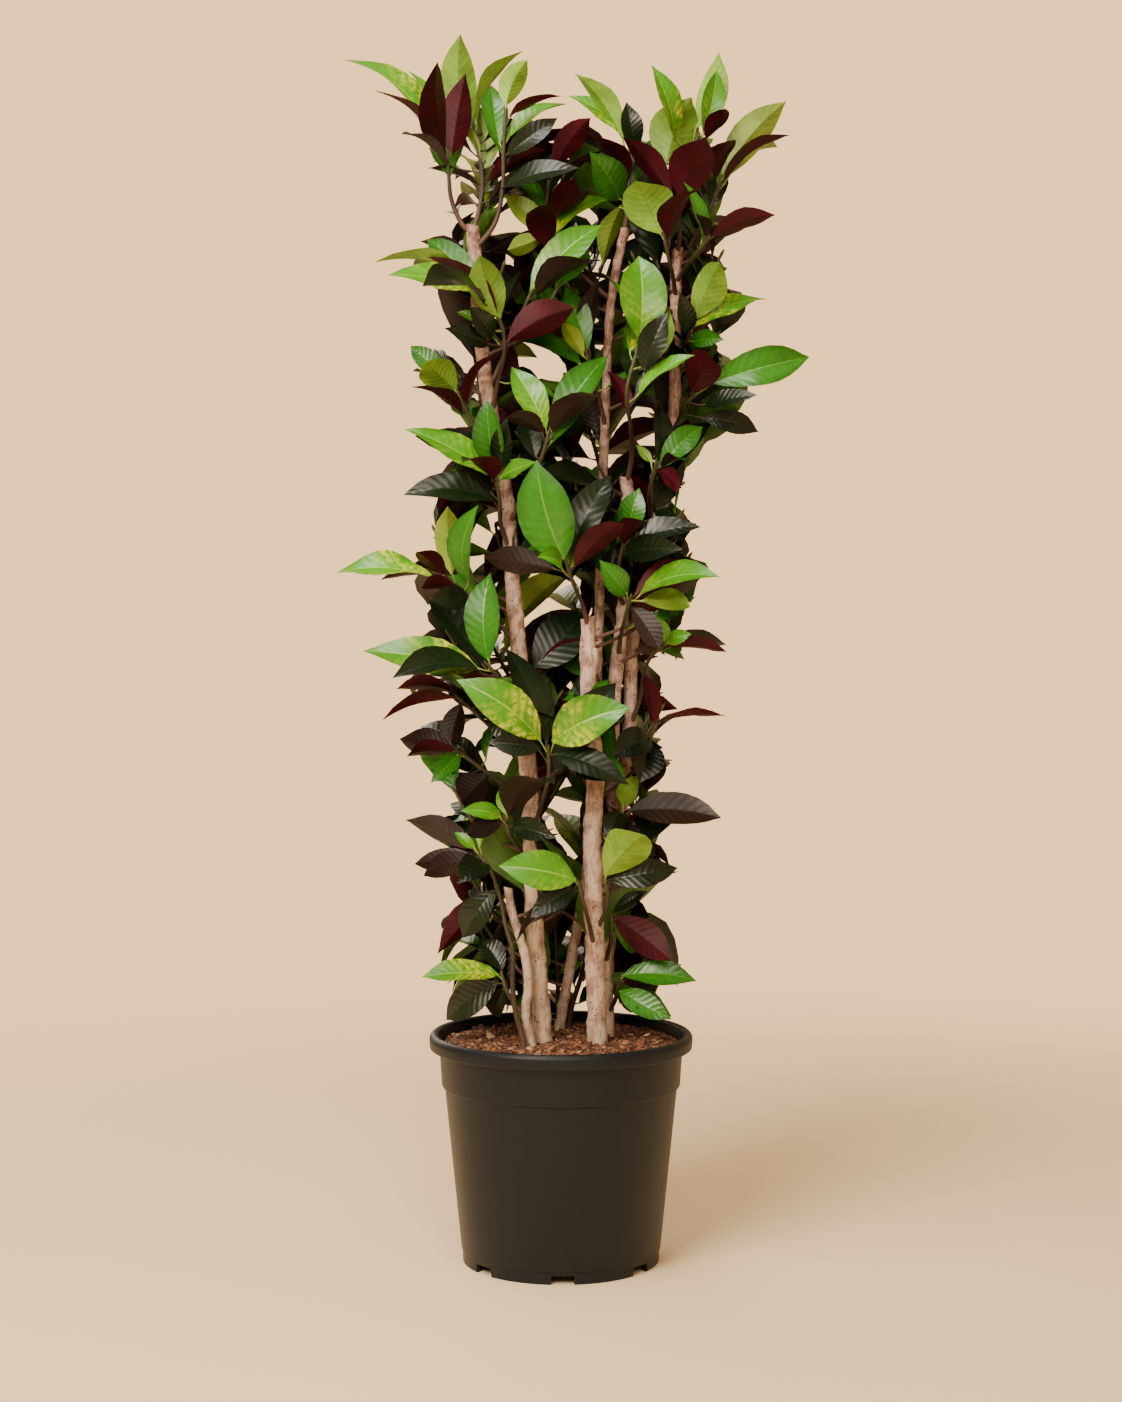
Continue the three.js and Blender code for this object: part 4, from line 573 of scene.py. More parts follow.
trunk_points = {}
for number, (name, trunk) in enumerate(TRUNKS.items()):
    draw = np.random.default_rng(BARK_SEED + number)
    line, radii = trunk_line(trunk)
    end = line["points"][-1]
    slope = np.radians(trunk["tilt"])
    count = int(line["length"] / TRUNK_RING_SPACING)
    share = np.linspace(0, 1 - CUT_BELOW / line["length"], count)
    steps = np.concatenate([[0], np.cumsum(np.linalg.norm(np.diff(line["points"], axis=0), axis=1))])
    radius = np.interp(share, steps / steps[-1], radii)
    angles = np.linspace(0, 2 * np.pi, TRUNK_AROUND, endpoint=False)
    middles, headings = along_line(line, share)
    rounds = bark_radius(share * line["length"], radius, angles, draw, BARK_FLARE)
    # A few more rings close the cut, which is pulled onto its sloping plane with an eased edge.
    middles = np.vstack([middles, middles[-1] + headings[-1] * CUT_RINGS[:, :1]])
    headings = np.vstack([headings, np.repeat(headings[-1:], len(CUT_RINGS), 0)])
    rounds = np.vstack([rounds, rounds[-1] * CUT_RINGS[:, 1:]])
    points, faces = tube(middles, headings, rounds, TRUNK_AROUND)
    cut = end[2] - (CUT_BELOW + np.sin(slope) * (points[:, 0] - end[0])) / np.cos(slope)
    points[:, 2] = np.minimum(points[:, 2], cut)
    rise = (rounds[:count] - radius[:, None]) / SCAR_RISE - 0.55
    scar = np.concatenate([np.clip(rise, 0, 0.6).ravel(), np.zeros(len(CUT_RINGS) * TRUNK_AROUND)])
    if "fork" in trunk:
        fork = np.array(trunk["fork"], float)
        arm = smooth_line(seen(fork[:, 0], fork[:, 1], fork[:, 2]))
        middles, headings = along_line(arm, np.linspace(0, 1, ARM_RINGS))
        radius = fork[0, 3] / 2 * np.append(np.ones(ARM_RINGS - 1), 0.9)
        rounds = radius[:, None] * (1 + 0.05 * np.sin(2 * angles + 1))
        arm_points, arm_faces = tube(middles, headings, rounds, TRUNK_AROUND)
        faces += [tuple(i + len(points) for i in face) for face in arm_faces]
        points = np.vstack([points, arm_points])
        scar = np.append(scar, np.zeros(len(arm_points)))
    trunk_points[name] = points
    stem = solid_of(name + "_bark", points, faces, bark)
    stem.data.materials.append(cut_wood)
    ends = np.zeros(len(faces), int)
    ends[(count + 1) * TRUNK_AROUND:(count + 3) * TRUNK_AROUND + 2] = 1
    stem.data.polygons.foreach_set("material_index", ends)
    scars = stem.data.attributes.new("scar", "FLOAT", "POINT")
    scars.data.foreach_set("value", scar.astype(np.float32))
    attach(stem, "root")
    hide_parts(name)


# ---- The sprays: leafy shoots that grow from the trunks, or young ones from the soil. Each shoot is a round
# green-wood stem with a bud at its tip; each leaf has a round stalk and one stiff glossy blade, striped when
# young, near-black when old and wine red beneath.
FRESH, STRIPED, GREEN, DARK, WINE = range(5)
SHOOT_WOOD, YOUNG_STALK, OLD_STALK = 5, 6, 7
TOP, UNDER = 1, -1
# Paths are as in the trunks; from names the trunk and how far down on it, or the soil and the place on it;
# leaves are [foot across, down, tip across, down, tip's depth past its root's, width as seen, face turned to
# the front, age]; more is how many leaves may grow by rule beside those.
SPRAYS = {
    "spray_top_left": {
        "from": ["trunk_a", 234],
        "path": [[464, 226, -26], [452, 200, -28], [448, 163, -30], [441, 138, -32]], "more": 2,
        "leaves": [
            [436, 140, 346, 60, 25, 22, TOP, STRIPED], [446, 160, 438, 62, -35, 28, UNDER, WINE],
            [452, 155, 466, 73, -35, 34, UNDER, WINE], [441, 150, 376, 91, -40, 9, UNDER, WINE],
            [445, 165, 402, 134, -80, 8, UNDER, DARK], [440, 128, 409, 71, 30, 12, TOP, FRESH],
        ],
    },
    "spray_top": {
        "from": ["trunk_a", 231], "path": [[479, 212, -10], [483, 180, 5], [474, 128, 14]], "more": 2,
        "leaves": [
            [470, 130, 461, 34, -30, 38, UNDER, FRESH], [487, 168, 462, 98, -40, 28, UNDER, STRIPED],
            [481, 165, 446, 118, 20, 10, UNDER, STRIPED], [489, 183, 548, 150, -35, 20, UNDER, WINE],
            [479, 185, 428, 168, -30, 8, UNDER, DARK], [477, 127, 523, 51, 20, 11, UNDER, FRESH],
        ],
    },
    "spray_top_middle": {
        "from": ["trunk_a", 250],
        "path": [[495, 224, -34], [503, 190, -38], [504, 150, -42], [506, 112, -45]], "more": 2,
        "leaves": [
            [506, 106, 528, 60, -20, 28, UNDER, FRESH], [500, 145, 492, 85, 35, 28, TOP, GREEN],
            [507, 140, 567, 104, 30, 14, TOP, FRESH], [510, 116, 562, 96, -20, 10, UNDER, WINE],
            [507, 155, 558, 118, 20, 24, TOP, DARK], [502, 188, 580, 168, -25, 20, TOP, DARK],
        ],
    },
    "spray_inner_top": {
        "from": ["trunk_e", 300], "path": [[590, 282, 14], [563, 255, 4], [548, 225, 0], [549, 185, 0]],
        "more": 2,
        "leaves": [
            [555, 168, 591, 118, -40, 28, UNDER, WINE], [549, 216, 576, 178, -60, 24, UNDER, WINE],
            [552, 250, 540, 206, -80, 34, UNDER, WINE], [560, 212, 590, 190, -70, 16, UNDER, DARK],
            [543, 226, 505, 195, -40, 26, UNDER, STRIPED], [545, 236, 508, 250, -30, 22, UNDER, STRIPED],
            [552, 238, 617, 200, 30, 16, TOP, STRIPED],
        ],
    },
    "spray_top_right": {
        "from": ["trunk_d", 254], "path": [[680, 235, 22], [679, 205, 4], [682, 172, 0], [698, 138, -4]],
        "more": 2,
        "leaves": [
            [667, 165, 692, 97, -45, 52, UNDER, FRESH], [676, 140, 652, 65, 25, 22, TOP, STRIPED],
            [696, 128, 719, 52, -25, 30, UNDER, FRESH], [704, 135, 717, 70, 30, 25, TOP, FRESH],
            [682, 200, 706, 137, -50, 45, UNDER, WINE], [672, 198, 623, 137, -35, 25, UNDER, WINE],
            [706, 140, 727, 109, -60, 18, UNDER, WINE],
        ],
    },
    "spray_right_tip": {
        "from": ["trunk_d", 266], "path": [[694, 240, 42], [712, 206, 36], [721, 181, 30]], "more": 2,
        "leaves": [
            [723, 178, 787, 101, -30, 38, UNDER, STRIPED], [725, 181, 790, 135, 20, 11, UNDER, WINE],
            [726, 182, 778, 147, 60, 15, TOP, FRESH], [717, 179, 735, 140, -80, 20, UNDER, WINE],
            [711, 208, 716, 165, 50, 24, TOP, DARK],
        ],
    },
    "spray_right_shoulder": {
        "from": ["trunk_d", 282], "path": [[686, 268, 5], [698, 252, -28], [707, 240, -40]], "more": 2,
        "leaves": [
            [711, 238, 776, 215, -35, 22, UNDER, WINE], [706, 238, 699, 215, -40, 12, UNDER, DARK],
            [703, 241, 684, 182, 35, 14, TOP, GREEN],
        ],
    },
    "spray_olive": {
        "from": ["trunk_d", 296], "path": [[673, 274, 2], [668, 254, -22], [665, 238, -30]], "more": 2,
        "leaves": [[661, 234, 636, 181, -45, 52, UNDER, FRESH], [670, 238, 700, 190, -40, 22, UNDER, WINE]],
    },
    "spray_top_inner": {
        "from": ["trunk_e", 234], "path": [[628, 212, 4], [629, 192, 14], [632, 158, 28]], "more": 2,
        "leaves": [
            [624, 142, 576, 74, -20, 22, UNDER, FRESH], [630, 142, 569, 96, 30, 20, TOP, STRIPED],
            [637, 150, 627, 102, 40, 24, TOP, DARK], [626, 186, 595, 136, -50, 20, UNDER, WINE],
            [627, 193, 576, 158, -30, 16, UNDER, WINE], [620, 200, 590, 152, 35, 36, TOP, GREEN],
            [622, 205, 603, 266, -30, 22, UNDER, STRIPED],
        ],
    },
    "spray_left": {
        "from": ["trunk_a", 414],
        "path": [[498, 384, -46], [505, 350, -62], [501, 322, -70], [482, 294, -72]], "more": 2,
        "leaves": [
            [501, 318, 480, 255, -40, 38, UNDER, FRESH], [508, 341, 575, 308, -30, 38, UNDER, WINE],
            [499, 322, 428, 257, 75, 13, UNDER, WINE], [480, 288, 427, 239, 40, 28, TOP, GREEN],
            [474, 291, 389, 275, -40, 24, TOP, STRIPED], [470, 280, 376, 262, 0, 12, UNDER, FRESH],
            [484, 303, 423, 286, -90, 20, TOP, DARK], [495, 335, 470, 306, 70, 24, TOP, DARK],
            [490, 345, 445, 328, -40, 20, TOP, DARK], [492, 330, 458, 312, -30, 13, TOP, FRESH],
        ],
    },
    "spray_middle": {
        "from": ["trunk_a", 392], "path": [[506, 352, -30], [521, 316, -42], [531, 294, -50]], "more": 2,
        "leaves": [[531, 291, 603, 225, 25, 34, TOP, FRESH], [536, 296, 602, 261, -60, 22, UNDER, DARK]],
    },
    "spray_left_low": {
        "from": ["trunk_a", 474],
        "path": [[488, 453, -34], [478, 433, -38], [467, 412, -40], [460, 395, -42]], "more": 2,
        "leaves": [
            [446, 380, 411, 346, 20, 24, TOP, GREEN], [457, 391, 425, 362, -60, 36, UNDER, FRESH],
            [468, 405, 500, 354, -40, 10, UNDER, WINE],
            [457, 399, 413, 371, 0, 8, TOP, DARK], [463, 414, 412, 387, -60, 12, UNDER, WINE],
        ],
    },
    "spray_bright_pair": {
        "from": ["trunk_a", 526], "path": [[524, 493, -58], [540, 463, -82], [549, 434, -90]], "more": 2,
        "leaves": [
            [547, 428, 512, 367, 35, 32, TOP, FRESH], [552, 430, 608, 356, 35, 36, TOP, GREEN],
            [554, 434, 600, 396, -45, 24, UNDER, DARK], [545, 433, 506, 418, -45, 20, UNDER, DARK],
            [536, 458, 524, 418, 20, 26, TOP, DARK],
        ],
    },
    "spray_centre": {
        "from": ["trunk_e", 428], "path": [[600, 400, 6], [592, 374, -10], [587, 352, -20]], "more": 2,
        "leaves": [
            [588, 350, 566, 287, 25, 28, TOP, GREEN], [584, 357, 563, 322, -50, 18, UNDER, STRIPED],
            [588, 340, 553, 297, 20, 16, TOP, FRESH], [590, 350, 600, 277, 20, 20, UNDER, DARK],
        ],
    },
    "spray_big_bright": {
        "from": ["trunk_c", 485], "path": [[632, 459, 0], [631, 426, -45], [627, 392, -78], [637, 352, -72]],
        "more": 2,
        "leaves": [
            [627, 384, 628, 284, 30, 42, TOP, GREEN], [640, 340, 639, 256, 25, 50, TOP, FRESH],
            [638, 396, 695, 355, -25, 14, TOP, FRESH], [652, 366, 660, 295, 30, 14, UNDER, FRESH],
            [645, 372, 668, 312, 50, 30, TOP, DARK], [630, 411, 608, 371, -40, 16, UNDER, WINE],
            [630, 352, 606, 275, 40, 20, TOP, STRIPED],
        ],
    },
    "spray_right_arm": {
        "from": ["trunk_d", 436], "path": [[680, 418, 12], [685, 404, -18], [694, 396, -30]], "more": 2,
        "leaves": [
            [692, 392, 706, 351, -50, 38, UNDER, WINE], [712, 383, 810, 357, 20, 42, TOP, GREEN],
            [704, 406, 758, 395, -35, 18, TOP, DARK], [702, 414, 803, 413, 10, 12, UNDER, FRESH],
            [703, 418, 759, 432, -40, 24, TOP, DARK],
        ],
    },
    "spray_right_upper": {
        "from": ["trunk_d", 364], "path": [[683, 349, 22], [690, 334, 2]], "more": 2,
        "leaves": [
            [692, 328, 767, 299, 25, 20, TOP, STRIPED], [690, 334, 680, 292, 45, 20, TOP, DARK],
            [694, 320, 720, 262, -40, 38, UNDER, FRESH], [693, 335, 735, 312, -40, 16, UNDER, WINE],
            [692, 342, 725, 340, -50, 20, TOP, GREEN],
        ],
    },
    "spray_right_middle": {
        "from": ["trunk_d", 536], "path": [[651, 513, 8], [650, 490, -30], [656, 467, -50]], "more": 1,
        "leaves": [
            [661, 468, 703, 427, 25, 28, TOP, GREEN], [656, 461, 659, 403, 30, 20, TOP, DARK],
            [653, 463, 637, 445, 10, 10, UNDER, FRESH], [657, 469, 678, 492, -45, 18, UNDER, WINE],
            [661, 468, 688, 463, -50, 8, UNDER, DARK],
        ],
    },
    "spray_left_pair": {
        "from": ["trunk_a", 552], "path": [[501, 524, -44], [500, 501, -56], [496, 477, -60]], "more": 2,
        "leaves": [
            [492, 477, 405, 429, -10, 26, TOP, FRESH], [495, 470, 488, 398, 30, 34, TOP, GREEN],
            [500, 478, 537, 462, -30, 16, TOP, FRESH], [497, 502, 404, 495, -25, 30, TOP, DARK],
            [494, 480, 462, 462, -60, 16, UNDER, WINE], [503, 470, 507, 418, 20, 24, TOP, DARK],
        ],
    },
    "spray_broad": {
        "from": ["trunk_b", 630], "path": [[583, 604, -56], [573, 582, -88], [567, 564, -100]], "more": 2,
        "leaves": [
            [565, 560, 537, 460, 25, 58, TOP, GREEN], [571, 555, 612, 475, 30, 36, TOP, DARK],
            [556, 569, 484, 557, -30, 30, UNDER, DARK], [563, 570, 538, 557, -25, 18, TOP, FRESH],
            [570, 570, 582, 545, -20, 14, TOP, FRESH], [574, 568, 625, 524, -25, 26, UNDER, WINE],
        ],
    },
    "spray_left_arm": {
        "from": ["trunk_a", 646], "path": [[492, 616, -28], [466, 593, -30], [451, 580, -30]], "more": 2,
        "leaves": [
            [438, 579, 337, 573, -15, 22, TOP, STRIPED], [452, 574, 448, 506, -35, 28, UNDER, STRIPED],
            [446, 576, 417, 552, -50, 20, UNDER, WINE], [446, 581, 381, 580, -25, 10, UNDER, WINE],
            [470, 584, 479, 505, -30, 26, TOP, GREEN], [455, 587, 422, 588, -50, 16, UNDER, WINE],
            [470, 598, 430, 600, -40, 26, TOP, DARK],
        ],
    },
    "spray_right_low_top": {
        "from": ["trunk_c", 606], "path": [[618, 588, -22], [619, 567, -46], [622, 551, -58]], "more": 1,
        "leaves": [
            [626, 548, 701, 527, -15, 24, TOP, DARK], [624, 554, 683, 549, -45, 30, TOP, DARK],
            [628, 535, 640, 488, 15, 28, TOP, GREEN], [624, 545, 648, 522, -50, 20, UNDER, WINE],
        ],
    },
    "spray_right_low": {
        "from": ["trunk_c", 656], "path": [[622, 633, -20], [627, 613, -60], [631, 598, -80]], "more": 1,
        "leaves": [
            [635, 595, 690, 563, -35, 36, UNDER, WINE], [640, 595, 720, 577, -10, 24, TOP, FRESH],
            [634, 600, 673, 602, -50, 30, UNDER, WINE], [631, 606, 660, 650, -40, 26, UNDER, DARK],
            [642, 601, 691, 607, -20, 24, UNDER, FRESH], [628, 594, 600, 560, -35, 26, TOP, GREEN],
        ],
    },
    "spray_left_mid": {
        "from": ["trunk_a", 726], "path": [[508, 692, -54], [497, 675, -66], [489, 666, -70]], "more": 2,
        "leaves": [
            [489, 661, 491, 573, 25, 38, TOP, GREEN], [480, 669, 364, 651, -15, 38, TOP, STRIPED],
            [484, 667, 428, 600, 15, 30, TOP, DARK], [482, 673, 393, 678, -35, 26, TOP, DARK],
            [493, 676, 460, 690, -40, 20, UNDER, WINE],
        ],
    },
    "spray_dark_broad": {
        "from": ["trunk_a", 746], "path": [[534, 712, -8], [536, 692, -2], [534, 673, -4]], "more": 1,
        "leaves": [[534, 668, 582, 612, 25, 50, TOP, DARK], [537, 676, 600, 640, -20, 20, UNDER, WINE]],
    },
    "spray_right_side": {
        "from": ["trunk_d", 730], "path": [[640, 700, 26], [646, 668, -5], [653, 655, -25], [663, 646, -40]],
        "more": 1,
        "leaves": [
            [665, 643, 656, 615, -60, 14, TOP, FRESH], [667, 643, 692, 634, -40, 16, TOP, FRESH],
            [668, 647, 727, 652, -25, 14, UNDER, WINE], [671, 640, 727, 645, 10, 16, TOP, DARK],
            [656, 650, 645, 630, -50, 20, UNDER, WINE], [660, 651, 685, 660, -40, 10, TOP, GREEN],
        ],
    },
    "spray_right_wisp": {
        "from": ["trunk_d", 796], "path": [[640, 769, 22], [648, 746, 5], [655, 729, -4]], "more": 1,
        "leaves": [
            [654, 726, 645, 674, 15, 18, UNDER, WINE], [658, 722, 726, 716, -20, 8, UNDER, WINE],
            [649, 736, 612, 758, -50, 34, TOP, DARK], [648, 744, 640, 783, -40, 40, TOP, DARK],
        ],
    },
    "spray_yellow_pair": {
        "from": ["trunk_a", 838], "path": [[542, 803, -70], [549, 776, -100], [549, 751, -110]], "more": 1,
        "leaves": [
            [541, 740, 457, 680, -25, 44, TOP, STRIPED], [553, 742, 631, 708, -30, 50, TOP, STRIPED],
            [547, 744, 506, 648, 15, 34, TOP, DARK], [541, 749, 489, 742, -45, 26, TOP, DARK],
            [555, 754, 629, 785, -35, 28, TOP, DARK],
        ],
    },
    "spray_left_dark": {
        "from": ["trunk_a", 768], "path": [[502, 738, -16], [478, 715, -20], [459, 698, -20]], "more": 1,
        "leaves": [
            [457, 698, 383, 720, -10, 14, UNDER, WINE], [458, 694, 397, 689, 20, 16, UNDER, WINE],
            [462, 703, 452, 745, -30, 26, UNDER, DARK],
        ],
    },
    "spray_left_lower": {
        "from": ["trunk_a", 808], "path": [[508, 788, -4], [480, 767, -8], [459, 751, -10]], "more": 1,
        "leaves": [
            [455, 746, 400, 739, -20, 30, UNDER, DARK], [456, 751, 407, 757, -30, 16, UNDER, WINE],
            [459, 754, 431, 783, -40, 20, TOP, GREEN], [463, 747, 420, 727, 15, 18, TOP, DARK],
            [488, 775, 462, 803, -40, 40, UNDER, DARK],
        ],
    },
    "spray_low_centre": {
        "from": ["trunk_a", 880], "path": [[522, 852, -48], [510, 834, -66], [506, 820, -70]], "more": 1,
        "leaves": [
            [509, 816, 555, 784, -35, 28, UNDER, DARK], [502, 817, 461, 811, -30, 18, TOP, FRESH],
            [507, 815, 507, 782, 35, 14, TOP, FRESH], [504, 823, 467, 833, -45, 24, UNDER, DARK],
            [512, 826, 557, 838, -45, 26, TOP, DARK],
        ],
    },
    "spray_right_arch": {
        "from": ["trunk_c", 878], "path": [[617, 853, -8], [621, 833, -30], [622, 817, -40]], "more": 1,
        "leaves": [
            [628, 811, 722, 818, -25, 36, UNDER, DARK], [623, 806, 640, 775, 20, 22, UNDER, FRESH],
            [620, 812, 607, 838, -30, 26, TOP, DARK],
        ],
    },
    "spray_left_foot": {
        "from": ["soil", [524, 1044, -64]], "more": 1,
        "path": [
            [516, 1012, -64], [513, 985, -64], [513, 950, -64], [506, 925, -60], [500, 895, -58],
            [490, 868, -54],
            [478, 853, -50],
        ],
        "leaves": [
            [473, 848, 406, 820, 20, 26, UNDER, DARK], [473, 855, 415, 864, -20, 24, UNDER, DARK],
            [478, 860, 424, 876, -40, 26, UNDER, DARK], [476, 849, 455, 832, 10, 12, TOP, FRESH],
            [484, 862, 458, 884, -60, 30, TOP, DARK], [480, 849, 487, 826, -10, 7, TOP, FRESH],
        ],
    },
    "spray_low_bright": {
        "from": ["trunk_b", 948], "path": [[588, 917, -70], [583, 899, -86], [580, 886, -92]], "more": 1,
        "leaves": [[577, 880, 499, 866, -25, 40, TOP, FRESH], [577, 889, 531, 918, -45, 26, TOP, DARK]],
    },
    "spray_low_olive": {
        "from": ["trunk_b", 936], "path": [[606, 910, -48], [608, 893, -58], [605, 881, -62]], "more": 1,
        "leaves": [
            [605, 876, 645, 835, -30, 48, UNDER, FRESH], [609, 880, 678, 868, -20, 30, TOP, DARK],
            [609, 885, 678, 897, 10, 10, UNDER, DARK],
        ],
    },
    "spray_low_left": {
        "from": ["trunk_f", 922], "path": [[506, 907, -42], [500, 895, -34], [497, 888, -30]], "more": 1,
        "leaves": [
            [494, 890, 463, 938, -40, 32, TOP, DARK], [495, 893, 438, 954, -5, 30, UNDER, WINE],
        ],
    },
    "spray_low_right": {
        "from": ["trunk_c", 966], "path": [[611, 942, -4], [612, 921, -18]], "more": 1,
        "leaves": [
            [614, 917, 672, 961, -30, 34, UNDER, WINE], [613, 913, 648, 891, -25, 14, TOP, DARK],
            [613, 922, 640, 948, 10, 26, TOP, GREEN],
        ],
    },
    "spray_rim_left": {
        "from": ["trunk_f", 1016], "path": [[515, 1004, -44], [507, 990, -42], [503, 977, -40]], "more": 1,
        "leaves": [
            [500, 975, 422, 977, -20, 24, TOP, STRIPED], [499, 982, 447, 1020, 30, 34, TOP, DARK],
            [503, 970, 480, 940, 25, 26, TOP, DARK], [505, 987, 490, 1012, -40, 24, TOP, DARK],
        ],
    },
    "spray_rim_right": {
        "from": ["trunk_c", 1016], "path": [[616, 999, 5], [619, 981, -8]], "more": 1,
        "leaves": [
            [622, 976, 697, 981, -20, 26, TOP, GREEN], [622, 980, 663, 978, -50, 28, UNDER, DARK],
            [619, 990, 672, 1019, -30, 26, TOP, GREEN], [618, 992, 638, 1008, 20, 20, UNDER, WINE],
        ],
    },
    "spray_small_green": {
        "from": ["soil", [559, 1022, 72]], "path": [[558, 975, 66], [556, 945, 64], [555, 918, 62]],
        "more": 2,
        "leaves": [
            [560, 973, 583, 962, -45, 12, TOP, FRESH], [556, 970, 545, 985, -50, 16, TOP, GREEN],
            [557, 960, 566, 945, 20, 14, TOP, GREEN],
        ],
    },
    "spray_back_foot": {
        "from": ["soil", [570, 1018, 84]], "path": [[586, 960, 88], [592, 900, 100], [588, 840, 122]],
        "more": 7, "leaves": [],
    },
    "spray_back_low": {
        "from": ["trunk_d", 860], "path": [[634, 825, 90], [640, 800, 110]], "more": 6, "leaves": [],
    },
    "spray_back_left": {
        "from": ["trunk_a", 700], "path": [[505, 668, 20], [490, 640, 50]], "more": 6, "leaves": [],
    },
    "spray_back_middle": {
        "from": ["trunk_e", 670], "path": [[588, 636, 80], [575, 606, 110]], "more": 7, "leaves": [],
    },
    "spray_back_right": {
        "from": ["trunk_d", 590], "path": [[652, 562, 85], [660, 535, 110]], "more": 7, "leaves": [],
    },
    "spray_back_inner": {
        "from": ["trunk_e", 490], "path": [[598, 458, 80], [588, 425, 112]], "more": 7, "leaves": [],
    },
    "spray_back_high_left": {
        "from": ["trunk_a", 450], "path": [[488, 415, 22], [478, 375, 60], [474, 350, 72]], "more": 8,
        "leaves": [],
    },
    "spray_back_high_right": {
        "from": ["trunk_d", 400], "path": [[685, 372, 85], [694, 340, 115]], "more": 8, "leaves": [],
    },
    "spray_back_crown": {
        "from": ["trunk_e", 350], "path": [[604, 318, 72], [592, 275, 105], [586, 250, 112]], "more": 9,
        "leaves": [],
    },
    "spray_back_top": {
        "from": ["trunk_a", 290], "path": [[480, 255, 20], [488, 215, 52], [492, 180, 60]], "more": 8,
        "leaves": [],
    },
}
SHOOT_DIAMETER, YOUNG_STEM_DIAMETER, SHOOT_DEPTH = (6.4, 3.6), 8, 45
SHOOT_AROUND, STALK_AROUND, STALK_RINGS = 10, 7, 6
BUD_RINGS = np.array([[1.5, 2.1], [4, 1.9], [7, 1.0], [9, 0.2]])  # past the shoot's tip, radius
NODE_RISE, NODE_WIDTH = 0.55, 3  # of the ring round a shoot where a leaf stands
LEAF_LENGTH, LEAF_SLIMNESS = (100, 140), 0.4
LEAF_FORM = {  # least, and how much more it may be: shares of the length or width, and angles in radians
    "arch": (0.07, 0.07), "fold": (0.2, 0.25), "twist": (-0.35, 0.7), "sweep": (-0.05, 0.1),
    "wave": (0, 0.05), "phase": (0, 2 * np.pi),
}
SPREAD_LOW, SPREAD_TOP, SPREAD_PLAY = 95, 50, 14  # degrees between a shoot and a leaf by rule
STALK_LENGTH, STALK_RADIUS = 12, 1.3
ROOT_INSET, ROOT_SPACING, ROOT_LOWEST = 4, 4.5, 0.15  # the lowest is a share of the shoot
ROOT_STEPS = np.arange(10, 61) / 60  # shares of a shoot among which a leaf finds its root
FOOT_SHIFT = 0.08  # share of its tip's depth past its root that a leaf's foot has
SHOOT_BARE, SHOOT_LEAFY = 0.45, 0.98  # shares of a shoot between which leaves grow by rule
GOLDEN_TURN = 137.508
TIP_SHIFTS = (0, -12, 12, -24, 24, -36, 36, -50, 50, -66, 66, -84, 84, -104, 104)
TURN_SWINGS = (0, 25, -25, 50, -50, 80, -80, 110, -110, 145, -145, 180)
SPREAD_SWINGS = (0, -16, 16)
TIP_MATCH = 1.2  # a pose is the grown one where the solid has a corner this near to its tip


def dice(seed):
    """Numbers in 0..1, always the same for one seed: each is the last times 16807, modulo 2147483647. The
    first two aren't used."""
    times, modulus = 16807, 2147483647
    state = seed * times ** 2 % modulus
    while True:
        state = state * times % modulus
        yield state / modulus


def unit(vector):
    """The vector at length 1."""
    return vector / np.linalg.norm(vector, axis=-1, keepdims=True)


def grown_leaf(root, foot, tip, face, width, draw):
    """A leaf's own form: its middle rises over its length, each half folds up from flat, it twists and
    bends aside, and its edge waves, each by a drawn amount."""
    along = tip - foot
    length = np.linalg.norm(along)
    leaf = {"root": root, "foot": foot, "tip": tip, "along": along, "length": length, "width": width,
            "normal": unit(face - along * (face @ along) / length ** 2)}
    for name, (least, more) in LEAF_FORM.items():
        leaf[name] = least + more * next(draw)
    return leaf


def seen_leaf(line, row, past, back, draw):
    """A leaf by its row. Its root is the shoot's nearest place as seen; its face looks to the eye by as much
    as its width is seen, and otherwise up the shoot; past shifts its tip in depth."""
    foot_across, foot_down, tip_across, tip_down, reach, seen_width, face = row[:7]
    places, _ = along_line(line, ROOT_STEPS)
    scale = STEP * (1 + places[:, 1] / EYE_AWAY)
    off = np.hypot(places[:, 0] / scale + EYE_ACROSS - foot_across,
                   EYE_DOWN - (places[:, 2] - EYE_HEIGHT) / scale - foot_down)
    share = min(ROOT_STEPS[off.argmin()], 1 - ROOT_INSET / line["length"])
    share = max(ROOT_LOWEST, share - back / line["length"])
    places, headings = along_line(line, share)
    root, heading = places[0], headings[0]
    foot = seen(foot_across, foot_down, root[1] + (reach + past) * FOOT_SHIFT)
    tip = seen(tip_across, tip_down, root[1] + reach + past)
    along = tip - foot
    shown = seen_width * STEP * (1 + root[1] / EYE_AWAY)
    width = max(shown * 1.03, LEAF_SLIMNESS * np.linalg.norm(along))
    to_eye = np.array([0, -EYE_AWAY, EYE_HEIGHT]) - foot
    to_eye = unit(to_eye - along * (to_eye @ along) / (along @ along))
    side = unit(np.cross(along, to_eye))
    side = -side if side @ heading < 0 else side
    part = min(1, shown / width)
    return grown_leaf(root, foot, tip, to_eye * face * part + side * (1 - part ** 2) ** 0.5, width, draw)


